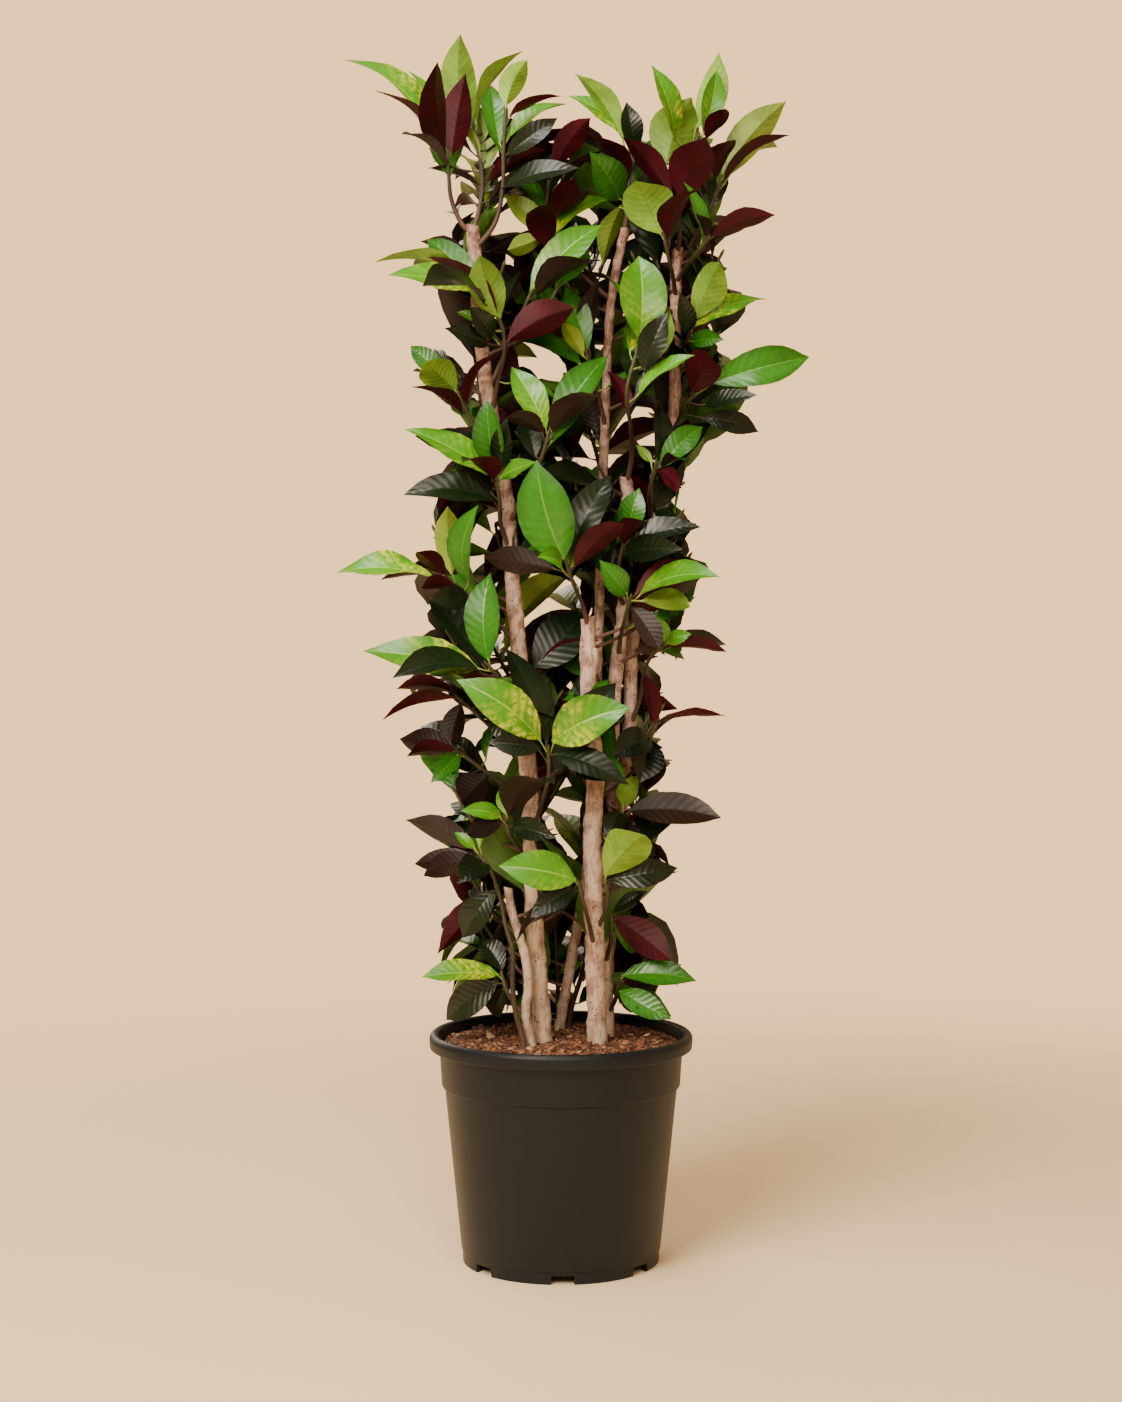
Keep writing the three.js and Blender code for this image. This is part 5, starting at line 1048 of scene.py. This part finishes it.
def ruled_leaf(root, heading, step, index, turn_swing, spread_swing, draw, size=1):
    """A leaf by rule: a golden turn on from the one below, spread wide low on the shoot and steep at its top,
    which step gives as 0 to 1."""
    turn = np.radians(GOLDEN_TURN * index + 360 * next(draw) + turn_swing)
    spread = SPREAD_LOW + (SPREAD_TOP - SPREAD_LOW) * step + SPREAD_PLAY * (next(draw) - 0.5)
    spread = np.radians(spread + spread_swing)
    level = unit(np.array([1, 0, 0]) - heading * heading[0])
    outward = level * np.cos(turn) + np.cross(heading, level) * np.sin(turn)
    way = heading * np.cos(spread) + outward * np.sin(spread)
    length = size * (LEAF_LENGTH[0] + (LEAF_LENGTH[1] - LEAF_LENGTH[0]) * next(draw))
    foot = root + way * STALK_LENGTH
    width = LEAF_SLIMNESS * length * (0.9 + 0.3 * next(draw))
    return grown_leaf(root, foot, foot + way * length, heading, width, draw)


def grown_pose(poses, corners):
    """The pose that the spray's solid has, or None: the one whose tip is nearest to one of its corners."""
    off = [np.linalg.norm(corners - leaf["tip"], axis=1).min() for leaf in poses]
    return poses[int(np.argmin(off))] if min(off) < TIP_MATCH else None


def blade_grid(across, along):
    """A blade is a closed sheet: at each station along it, a loop of points over its top from edge to edge
    and back beneath. Gives the loop's places, its side (1 above, -1 beneath, 0 at the edges) and the
    stations."""
    across = np.array(across)
    loop = np.concatenate([across, across[-2:0:-1]])
    side = np.concatenate([np.ones(len(across)), -np.ones(len(across) - 2)]) * (np.abs(loop) < 1)
    return loop, side, np.array(along)


BIG_BLADE = blade_grid(
    (-1, -0.5, -0.08, 0, 0.08, 0.5, 1), (0, 0.04, 0.12, 0.23, 0.35, 0.48, 0.6, 0.72, 0.83, 0.93, 1),
)
BLADE_THICKNESS = 0.5
RIB_DEPTH, RIB_GROOVE = 0.9, 0.25


def blade(leaf, grid):
    """Points of a blade, station by station. Its middle line runs from foot to tip and rises by 4v(1-v); its
    half width is 0.5 sin(pi v^0.95)^0.85, drawn out at the tip; each half folds up with a softened crease,
    its edge waves and frills by the square of the distance across, and the rib is a groove above and a
    ridge beneath."""
    loop, face, stations = grid
    v, s, face = stations[:, None, None], loop[None, :, None], face[None, :, None]
    along, normal, length = leaf["along"], leaf["normal"], leaf["length"]
    side = unit(np.cross(along, normal))
    rise = (normal * leaf["arch"] + side * leaf["sweep"]) * length * 4
    middle = leaf["foot"] + along * v + rise * v * (1 - v)
    heading = unit(along + rise * (1 - 2 * v))
    up = unit(normal - heading * (heading @ normal)[..., None])
    turn = leaf["twist"] * (v - 0.4)
    up = up * np.cos(turn) + np.cross(heading, up) * np.sin(turn)
    out = np.cross(heading, up)
    form = 0.5 * np.sin(np.pi * v ** 0.95) ** 0.85
    form = form * (1 - 0.4 * np.clip((v - 0.8) / 0.2, 0, 1)) * (1 - 0.25 * np.clip((0.12 - v) / 0.12, 0, 1))
    half = np.maximum(leaf["width"] * form, 1.3 - 1.15 * v)
    wave = (0.03 + leaf["wave"] * 2.6) * leaf["width"] * form * np.sin(9 * v + leaf["phase"] + 2 * s)
    frill = 0.35 * np.sin(31 * v + 3 * leaf["phase"] + s) * np.minimum(form * 4, 1)
    crease = np.sqrt(s ** 2 + 0.01) - 0.1
    lift = crease * half * np.sin(leaf["fold"]) + (wave + frill) * s ** 2
    point = middle + out * s * half * np.cos(leaf["fold"]) + up * lift
    rib = np.exp(-((s * half / 1.3) ** 2)) * (1 - 0.75 * v)
    shift = np.where(face > 0, BLADE_THICKNESS / 2 - RIB_GROOVE * rib,
                     -BLADE_THICKNESS / 2 - RIB_DEPTH * rib)
    return (point + up * np.where(face == 0, 0, shift)).reshape(-1, 3)


def shoots_mesh(shoots, grid):
    """Points and faces of shoots, each a (line, thickness, leaves), and for each face its material, corner
    coordinates, side and its leaf's own number."""
    parts, face_sets, kinds, maps, sides, owns = [], [], [], [], [], []
    base = 0

    def take(points, faces, kind, corner_map, side, own):
        nonlocal base
        parts.append(points)
        face_sets.extend(tuple(i + base for i in face) for face in faces)
        kinds.extend([kind] * len(faces))
        maps.extend(corner_map)
        sides.extend(side)
        owns.extend([own] * len(faces))
        base += len(points)

    loop, _, stations = grid
    here = np.arange(len(stations) * len(loop)).reshape(len(stations), len(loop))
    onward = np.roll(here, -1, 1)
    quads = np.stack([here[:-1], here[1:], onward[1:], onward[:-1]], -1)
    # Beneath, a face starts a corner later, so that both sides are split along the same diagonal.
    quads[:, len(loop) // 2:] = np.roll(quads[:, len(loop) // 2:], -1, axis=-1)
    ends = [tuple(here[0].tolist()), tuple(here[-1][::-1].tolist())]
    blade_faces = [*map(tuple, quads.reshape(-1, 4).tolist()), *ends]
    u, v = np.tile(loop * 0.5 + 0.5, len(stations)), np.repeat(stations, len(loop))
    blade_corners = [[(u[i], v[i]) for i in face] for face in blade_faces]
    lower = np.tile(np.arange(len(loop)) >= len(loop) // 2, len(stations) - 1)
    beneath = lower.astype(float).tolist() + [1.0, 1.0]

    for line, thick, leaves in shoots:
        # The shoot, with low rings where leaves stand and a pointed bud past its tip. One without a thickness
        # is drawn elsewhere.
        share = np.linspace(0, 1, max(8, int(line["length"] / 4)))
        middles, headings = along_line(line, share)
        radius = (thick + (SHOOT_DIAMETER[1] - thick) * share) / 2
        roots = np.array([leaf["root"] for leaf in leaves])
        near = np.linalg.norm(middles[:, None] - roots[None], axis=-1).min(1)
        radius = np.concatenate([radius + NODE_RISE * np.exp(-((near / NODE_WIDTH) ** 2)), BUD_RINGS[:, 1]])
        middles = np.vstack([middles, middles[-1] + headings[-1] * BUD_RINGS[:, :1]])
        headings = np.vstack([headings, np.repeat(headings[-1:], len(BUD_RINGS), 0)])
        points, faces = tube(middles, headings, radius, SHOOT_AROUND)
        far = np.repeat(np.concatenate([share, np.ones(len(BUD_RINGS))]), SHOOT_AROUND)
        corners = [[(i % SHOOT_AROUND / SHOOT_AROUND, far[i]) for i in face] for face in faces]
        if thick:
            take(points, faces, SHOOT_WOOD, corners, [0] * len(faces), 0.5)
        for number, leaf in enumerate(leaves):
            own = (number * 0.618 + leaf["phase"]) % 1
            take(blade(leaf, grid), blade_faces, leaf["age"], blade_corners, beneath, own)
            # The stalk, bent a little, thicker at both ends, runs from inside the shoot into the blade.
            t = np.linspace(0, 1, STALK_RINGS)[:, None]
            end = leaf["foot"] + unit(leaf["along"] + leaf["normal"] * 4 * leaf["arch"] * leaf["length"]) * 4
            sag = leaf["normal"] * 0.12 * np.linalg.norm(end - leaf["root"])
            bend = leaf["root"] + (leaf["foot"] - leaf["root"]) * 0.6 - sag
            places = (1 - t) ** 2 * leaf["root"] + 2 * t * (1 - t) * bend + t ** 2 * end
            radius = STALK_RADIUS * (1 + 0.22 * np.cos(2 * np.pi * t[:, 0])) * (1 - 0.25 * t[:, 0])
            points, faces = tube(places, unit(np.gradient(places, axis=0)), radius, STALK_AROUND)
            corners = [[(0.5, t[i // STALK_AROUND, 0]) for i in face] for face in faces]
            kind = YOUNG_STALK if leaf["age"] <= GREEN else OLD_STALK
            take(points, faces, kind, corners, [0] * len(faces), own)
    return np.vstack(parts), face_sets, kinds, maps, sides, owns


# Croton leaf: a thick cuticle gives every blade a broad soft gloss above; beneath it is duller. Side veins
# leave the rib about every 9 mm and run out and forward, and the blade swells a little between them.
VEIN_PAIRS, VEIN_LEAN = 10, 1.5
SWELL = 0.5  # mm between veins


def leaf_material(name, top, margin, rib, stripe, stripe_share, beneath, beneath_vein, gloss, shine):
    """A leaf's two faces in one material, told apart by the piece's side attribute."""
    material, tree, shader = new_material(name)
    place = add(tree, "ShaderNodeTexCoord").outputs["Object"]
    flat = add(tree, "ShaderNodeSeparateXYZ",
               {"Vector": add(tree, "ShaderNodeUVMap", uv_map="blade").outputs[0]})
    own = add(tree, "ShaderNodeAttribute", attribute_name="own").outputs["Fac"]
    side = add(tree, "ShaderNodeAttribute", attribute_name="side").outputs["Fac"]
    cloud, mottle, grain = (
        add(tree, "ShaderNodeTexNoise",
            {"Vector": place, "Scale": 1 / (size * MM), "Detail": 2}).outputs["Fac"]
        for size in (24, 5, 0.9)
    )

    # Across is 0 on the rib and 1 at the edge, along 0 at the foot and 1 at the tip, and between 0 on a side
    # vein and 0.5 midway to the next.
    along = flat.outputs[1]
    off = add(tree, "ShaderNodeMath", {0: flat.outputs[0], 1: 2, 2: -1}, operation="MULTIPLY_ADD").outputs[0]
    across = add(tree, "ShaderNodeMath", {0: off}, operation="ABSOLUTE").outputs[0]
    rank = own
    for value, times in ((along, VEIN_PAIRS), (across, -VEIN_LEAN), (cloud, 0.5)):
        rank = add(tree, "ShaderNodeMath", {0: value, 1: times, 2: rank},
                   operation="MULTIPLY_ADD").outputs[0]
    between = add(tree, "ShaderNodeMath", {0: rank, 1: 0.5}, operation="PINGPONG").outputs[0]
    from_foot = add(tree, "ShaderNodeMath", {0: across, 1: -0.25, 2: along},
                    operation="MULTIPLY_ADD").outputs[0]

    # How much of each mark shows: it passes from one share to another between two values.
    shares = []
    for value, low, high, start, end in (
        (across, 0.45, 1, 0, 1), (cloud, 0.4, 0.65, 0, 0.45), (between, 0, 0.08, 0.3, 0),
        (across, 0.015, 0.05, 0.65, 0), (between, 0.03, 0.35, 0.4 * stripe_share, stripe_share),
        (own, 0, 1, 0.82, 1.16), (between, 0, 0.5, 0, 1),
    ):
        shares.append(add(
            tree, "ShaderNodeMapRange",
            {"Value": value, "From Min": low, "From Max": high, "To Min": start, "To Max": end},
            interpolation_type="SMOOTHSTEP",
        ).outputs[0])
    at_edge, clouded, veined, ribbed, striped, light, swelling = shares
    for value, low, high in ((mottle, 0.3, 0.55), (cloud, 0.36, 0.58), (from_foot, 0.7, 0.05)):
        striped = add(
            tree, "ShaderNodeMapRange",
            {"Value": value, "From Min": low, "From Max": high, "To Max": striped},
            interpolation_type="SMOOTHSTEP",
        ).outputs[0]

    above, below = linear(top), linear(beneath)
    for share, tint in ((at_edge, margin), (clouded, margin), (striped, stripe), (veined, margin),
                        (ribbed, rib)):
        above = add(tree, "ShaderNodeMix", {0: share, 6: above, 7: linear(tint)},
                    data_type="RGBA").outputs[2]
    for share in (clouded, veined, ribbed):
        below = add(tree, "ShaderNodeMix", {0: share, 6: below, 7: linear(beneath_vein)},
                    data_type="RGBA").outputs[2]
    colour = add(tree, "ShaderNodeMix", {0: side, 6: above, 7: below}, data_type="RGBA").outputs[2]
    tone = add(tree, "ShaderNodeHueSaturation", {"Color": colour, "Value": light})
    tree.links.new(tone.outputs[0], shader.inputs["Base Color"])
    dull = gloss
    for value, times in ((mottle, 0.08), (side, 0.2)):
        dull = add(tree, "ShaderNodeMath", {0: value, 1: times, 2: dull},
                   operation="MULTIPLY_ADD").outputs[0]
    tree.links.new(dull, shader.inputs["Roughness"])
    shader.inputs["Specular IOR Level"].default_value = shine
    swell = add(tree, "ShaderNodeMath", {0: grain, 1: 0.05, 2: swelling},
                operation="MULTIPLY_ADD").outputs[0]
    bump = add(tree, "ShaderNodeBump", {"Strength": 0.4, "Distance": SWELL * MM, "Height": swell})
    tree.links.new(bump.outputs[0], shader.inputs["Normal"])
    return material


# By age: bright yellow-green, striped yellow, deep green, near-black green, and near-black over wine red.
LEAF_PAINTS = {
    FRESH: leaf_material(
        "young_croton_leaf", "#4b9214", "#3c7e10", "#aace58", "#9cc62a", 0.6,
        "#7fa834", "#466f20", 0.25, 0.5,
    ),
    STRIPED: leaf_material(
        "striped_croton_leaf", "#4a9213", "#3a7c0f", "#b4cf44", "#c9d42a", 1,
        "#8eab3a", "#4f7024", 0.25, 0.5,
    ),
    GREEN: leaf_material(
        "green_croton_leaf", "#2f7414", "#215a0f", "#679a34", "#4a901e", 0.4,
        "#4f772b", "#2c4c18", 0.25, 0.5,
    ),
    DARK: leaf_material(
        "old_croton_leaf", "#0e1e0a", "#0a1409", "#22341a", "#172d10", 0.5,
        "#241311", "#150a09", 0.27, 0.45,
    ),
    WINE: leaf_material(
        "wine_backed_croton_leaf", "#121e0b", "#0f1609", "#33201a", "#1b2a11", 0.4,
        "#420a16", "#24050c", 0.28, 0.18,
    ),
}


def stem_material(name, root, lower, upper, gloss):
    """Green wood: the root's colour passes into a darker one and that into another towards the tip, with fine
    streaks, satin."""
    material, tree, shader = new_material(name)
    place = add(tree, "ShaderNodeTexCoord").outputs["Object"]
    flat = add(tree, "ShaderNodeSeparateXYZ",
               {"Vector": add(tree, "ShaderNodeUVMap", uv_map="blade").outputs[0]})
    drawn = add(tree, "ShaderNodeMapping", {"Vector": place, "Scale": (1, 1, 0.3)}).outputs["Vector"]
    streak = add(tree, "ShaderNodeTexNoise",
                 {"Vector": drawn, "Scale": 1 / (1.8 * MM), "Detail": 3}).outputs["Fac"]
    share = add(tree, "ShaderNodeMapRange", {"Value": flat.outputs[1], "From Min": 0.35, "From Max": 1.0},
                interpolation_type="SMOOTHSTEP").outputs[0]
    colour = add(tree, "ShaderNodeMix", {0: share, 6: linear(lower), 7: linear(upper)},
                 data_type="RGBA").outputs[2]
    near = add(
        tree, "ShaderNodeMapRange",
        {"Value": flat.outputs[1], "From Min": 0.08, "From Max": 0.45, "To Min": 1.0, "To Max": 0.0},
        interpolation_type="SMOOTHSTEP",
    ).outputs[0]
    colour = add(tree, "ShaderNodeMix", {0: near, 6: colour, 7: linear(root)}, data_type="RGBA").outputs[2]
    line = add(tree, "ShaderNodeMapRange",
               {"Value": streak, "From Min": 0.35, "From Max": 0.7, "To Max": 0.4}).outputs[0]
    colour = add(tree, "ShaderNodeMix", {0: line, 6: colour, 7: linear("#1c120c")},
                 data_type="RGBA").outputs[2]
    tree.links.new(colour, shader.inputs["Base Color"])
    shader.inputs["Roughness"].default_value = gloss
    bump = add(tree, "ShaderNodeBump", {"Strength": 0.5, "Distance": 0.3 * MM, "Height": streak})
    tree.links.new(bump.outputs[0], shader.inputs["Normal"])
    return material


STEM_PAINTS = [
    stem_material("shoot_green_wood", "#64483a", "#33221a", "#46421f", 0.6),
    stem_material("young_leaf_stalk", "#6b7a2c", "#7c8f32", "#a6be54", 0.45),
    stem_material("old_leaf_stalk", "#33231a", "#3a291d", "#524529", 0.5),
]


EDGE_ANGLE = np.radians(80)  # past which two faces meet in a crisp edge, as at a blade's margin


def leafy_piece(name, shoots, grid):
    """The object of these shoots, with the leaf and stem materials and the marks that they read."""
    points, faces, kinds, maps, sides, owns = shoots_mesh(shoots, grid)
    made = solid_of(name, points, faces, LEAF_PAINTS[FRESH])
    made.data.set_sharp_from_angle(angle=EDGE_ANGLE)
    for paint in [LEAF_PAINTS[age] for age in (STRIPED, GREEN, DARK, WINE)] + STEM_PAINTS:
        made.data.materials.append(paint)
    made.data.polygons.foreach_set("material_index", kinds)
    flat = made.data.uv_layers.new(name="blade")
    flat.data.foreach_set("uv", np.array([c for face in maps for c in face], np.float32).ravel())
    for title, values in (("side", sides), ("own", owns)):
        marks = made.data.attributes.new(title, "FLOAT", "FACE")
        marks.data.foreach_set("value", np.array(values, np.float32))
    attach(made, "root")
    return made


YOUNG_FROM = 0.55  # share of a back spray's leaves past which they are young
SPRAY_SEEDS, RULED_SEEDS = 1000, 500  # from one spray to the next, and from a spray's first leaf by row
ROOM_BLADE = blade_grid(  # closer, for the map of the room that the old leaves find taken
    (-1, -0.96, -0.75, -0.4, -0.08, 0, 0.08, 0.4, 0.75, 0.96, 1),
    (0, 0.03, 0.08, 0.14, 0.21, 0.28, 0.36, 0.44, 0.52, 0.6, 0.68, 0.76, 0.84, 0.91, 0.96, 0.99, 1),
)
grown_points, grown_lines = {}, {}
for number, (name, spray) in enumerate(SPRAYS.items()):
    path = np.array(spray["path"], float)
    places = seen(path[:, 0], path[:, 1], path[:, 2])
    base, height = spray["from"]
    if base == "soil":
        level = seen(*height)
        start = np.array([[level[0], level[1], SOIL_EDGE - SHOOT_DEPTH], level])
    else:
        rows = np.array(TRUNKS[base]["path"], float)[::-1]
        across, depth = (np.interp(height, rows[:, 1], rows[:, k]) for k in (0, 2))
        start = seen(across, height, depth)[None]
    line = smooth_line(np.vstack([start, places]))
    thick = YOUNG_STEM_DIAMETER if base == "soil" else SHOOT_DIAMETER[0]

    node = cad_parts[name].data
    corners = np.zeros(len(node.vertices) * 3)
    node.vertices.foreach_get("co", corners)
    corners = np.unique(np.round(corners.reshape(-1, 3) / MM, 3), axis=0)
    leaves = []
    for i, row in enumerate(spray["leaves"]):
        seed, back = SPRAY_SEEDS * (number + 1) + i, ROOT_SPACING * (i % 4)
        leaf = grown_pose([seen_leaf(line, row, past, back, dice(seed)) for past in TIP_SHIFTS], corners)
        if leaf:
            leaves.append({**leaf, "age": row[7]})
    for i in range(spray["more"]):
        seed = SPRAY_SEEDS * (number + 1) + RULED_SEEDS + i
        step = (i + 1) / (spray["more"] + 1)
        share = SHOOT_BARE + (SHOOT_LEAFY - SHOOT_BARE) * step
        root, heading = (rows[0] for rows in along_line(line, share))
        leaf = grown_pose([ruled_leaf(root, heading, step, i, turn, spread, dice(seed))
                           for turn in TURN_SWINGS for spread in SPREAD_SWINGS], corners)
        if leaf:
            young = "back" in name and step > YOUNG_FROM
            age = (FRESH, STRIPED)[i % 2] if young else (DARK, WINE, GREEN)[(i + number) % 3]
            leaves.append({**leaf, "age": age})
    made = leafy_piece(name + "_leaves", [(line, thick, leaves)], BIG_BLADE)
    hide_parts(name)
    grown_points[name], grown_lines[name] = shoots_mesh([(line, thick, leaves)], ROOM_BLADE)[0], line


# ---- The old leaves: mostly near-black, low on the sprays' own shoots and on short side shoots that the
# trunks bear all the way up, each turned where the most bare wall shows. They fill the room that the sprays
# leave, and hide little of them and of the trunks from the front.
OLD_SEED = 7
SIDE_FROM, SIDE_SPACING = 304, 12  # height of the lowest, and the rise from one to the next on a trunk
SIDE_BELOW_CUT = 25
SIDE_LENGTH, SIDE_DIAMETER, SIDE_BARE, SIDE_LEAVES = (30, 160), 4.6, 0.35, 11  # bare is a share
SPRAY_BARE, OLD_SPACING = 0.18, 11  # share of a spray's shoot without leaves, and the rise from leaf to leaf
OLD_SIZES = (1.0, 0.8, 0.62)  # tried in turn, as shares of a leaf's full size
OLD_TURNS, OLD_SPREADS = (0, 45, -45, 90, -90, 135, -135, 180), (0, 28, -14)  # tried in turn, in degrees
OLD_AGES = (DARK, DARK, WINE, DARK, GREEN, DARK, GREEN)
SIDE_TURNS = (0, 40, -40, 80, -80, 120, -120, 180)
SIDE_ELBOW, SIDE_TIP = (0.55, 0.25), (0.85, 0.7)  # out and up, as shares of a side shoot's length
# Shares of a side shoot that have to be clear, that look ahead for bare wall, and that fill room.
CLEAR_STEPS, AHEAD_STEPS = np.linspace(0.35, 1, 12), np.linspace(0.5, 1, 6)
FILLED_STEPS = np.linspace(0.2, 1, 12)
CLEAR_FROM, FILLED_FROM = 2, 3  # stations of a blade
PLANT_REACH = np.array([  # height, how far left and right
    [330, -165, 155], [500, -180, 150], [630, -195, 180], [900, -190, 175],
    [1050, -180, 230], [1250, -195, 245], [1400, -195, 245],
])
FRONT_REACH, BACK_REACH, LOW_REACH = -170, 200, SOIL_CROWN + 12
SMALL_BLADE = blade_grid((-1, -0.6, 0, 0.6, 1), (0, 0.08, 0.24, 0.42, 0.6, 0.77, 0.91, 1))
CELL = 4  # of the map of taken room
VIEW_CELL = 7  # of the maps of the front view, in steps of the photograph
ROOM_LOW, ROOM_CELLS = np.array([-360, -360, 0]), (190, 190, 400)  # the room's low corner, cells each way
AROUND = np.vstack([np.zeros((1, 3)), np.eye(3), -np.eye(3)])
LEAF_AHEAD = np.array([1, 1.5, 2]).reshape(-1, 1, 1)  # how far leaves reach, in lengths of their shoot
# Share of a shoot's reach that has to be bare wall, on the first and the second time up the trunks.
LEAST_BARE = (-1, 0.2)
HIDES_AT_MOST, HIDES_BY = 0.1, 4  # share of a leaf that may lie this far in front of what the sprays show
taken = np.zeros(ROOM_CELLS, bool)
nearest = np.full((PHOTO_HEIGHT // VIEW_CELL + 2, PHOTO_WIDTH // VIEW_CELL + 2), np.inf)
covered = np.zeros(nearest.shape, bool)


def cells_of(points):
    """The cells of the map of taken room that hold these points."""
    return tuple(((points - ROOM_LOW) // CELL).astype(int).T)


def view_cells(points):
    """The cells of the front view that show these points."""
    scale = STEP * (1 + points[:, 1] / EYE_AWAY)
    down, across = EYE_DOWN - (points[:, 2] - EYE_HEIGHT) / scale, points[:, 0] / scale + EYE_ACROSS
    return (down // VIEW_CELL).astype(int), (across // VIEW_CELL).astype(int)


def fill(points):
    """Marks the room round these points, a cell to each side, as taken, and what they hide as covered."""
    taken[cells_of((points[:, None] + AROUND * CELL).reshape(-1, 3))] = True
    covered[view_cells(points)] = True


def in_reach(points):
    """Which of these points lie inside the plant's reach."""
    left, right = (np.interp(points[:, 2], PLANT_REACH[:, 0], PLANT_REACH[:, k]) for k in (1, 2))
    return (points[:, 0] > left) & (points[:, 0] < right) & (points[:, 1] > FRONT_REACH) \
        & (points[:, 1] < BACK_REACH) & (points[:, 2] > LOW_REACH) & (points[:, 2] < PLANT_REACH[-1, 0])


def has_room(points):
    """Whether these points lie in the plant's reach, in free room, and behind what shows from the front."""
    return in_reach(points).all() and not taken[cells_of(points)].any() \
        and (points[:, 1] < nearest[view_cells(points)] - HIDES_BY).mean() < HIDES_AT_MOST


def old_leaves(line, count, lowest, draw):
    """As many leaves up this shoot as find room: for each the first size, turn and spread that is clear."""
    leaves = []
    for k in range(count):
        seed = int(draw.integers(1, 10 ** 6))
        step = (k + 1) / (count + 1)
        root, heading = (rows[0] for rows in along_line(line, lowest + (SHOOT_LEAFY - lowest) * step))
        for size, swing, spread in [(z, s, w) for z in OLD_SIZES for s in OLD_TURNS for w in OLD_SPREADS]:
            leaf = ruled_leaf(root, heading, step, k, swing, spread, dice(seed), size)
            if taken[cells_of(leaf["foot"] + leaf["along"] * np.array([[0.4], [0.6], [0.8], [1]]))].any():
                continue
            points = blade(leaf, SMALL_BLADE).reshape(len(SMALL_BLADE[2]), -1, 3)
            if has_room(points[CLEAR_FROM:].reshape(-1, 3)):
                leaves.append({**leaf, "age": OLD_AGES[seed % len(OLD_AGES)]})
                fill(points[FILLED_FROM:].reshape(-1, 3))
                break
    return leaves


for name, points in {**grown_points, **trunk_points}.items():
    fill(points)
    if "back" not in name:
        np.minimum.at(nearest, view_cells(points), points[:, 1])

draw = np.random.default_rng(OLD_SEED)
borne = {name: [] for name in (*TRUNKS, "soil")}
for least_bare in LEAST_BARE:
    for name, trunk in TRUNKS.items():
        stem, _ = trunk_line(trunk)
        low, high = stem["points"][0][2], stem["points"][-1][2]
        heights = np.arange(SIDE_FROM + draw.uniform(0, SIDE_SPACING), high - SIDE_BELOW_CUT, SIDE_SPACING)
        for i, height in enumerate(heights):
            root = along_line(stem, (height - low) / (high - low))[0][0]
            length = draw.uniform(*SIDE_LENGTH)
            best, most = None, least_bare
            for swing in SIDE_TURNS:
                turn = np.radians(GOLDEN_TURN * i + swing)
                out = np.array([np.cos(turn), np.sin(turn), 0]) * length
                rise = np.array([0, 0, length])
                elbow, tip = (root + across * out + up * rise for across, up in (SIDE_ELBOW, SIDE_TIP))
                line = smooth_line([root, elbow, tip])
                if has_room(along_line(line, CLEAR_STEPS)[0]):
                    ahead = root + (along_line(line, AHEAD_STEPS)[0] - root)[None] * LEAF_AHEAD
                    ahead = ahead.reshape(-1, 3)
                    bare = (in_reach(ahead) & ~covered[view_cells(ahead)]).mean()
                    if bare > most:
                        best, most = line, bare
            leaves = old_leaves(best, SIDE_LEAVES, SIDE_BARE, draw) if best else []
            if leaves:
                borne[name].append((best, SIDE_DIAMETER, leaves))
                fill(along_line(best, FILLED_STEPS)[0])
for name, line in grown_lines.items():
    leaves = old_leaves(line, int(line["length"] / OLD_SPACING), SPRAY_BARE, draw)
    if leaves:
        borne[SPRAYS[name]["from"][0]].append((line, 0, leaves))
for name, shoots in borne.items():
    if shoots:
        leafy_piece(name + "_old_leaves", shoots, SMALL_BLADE)
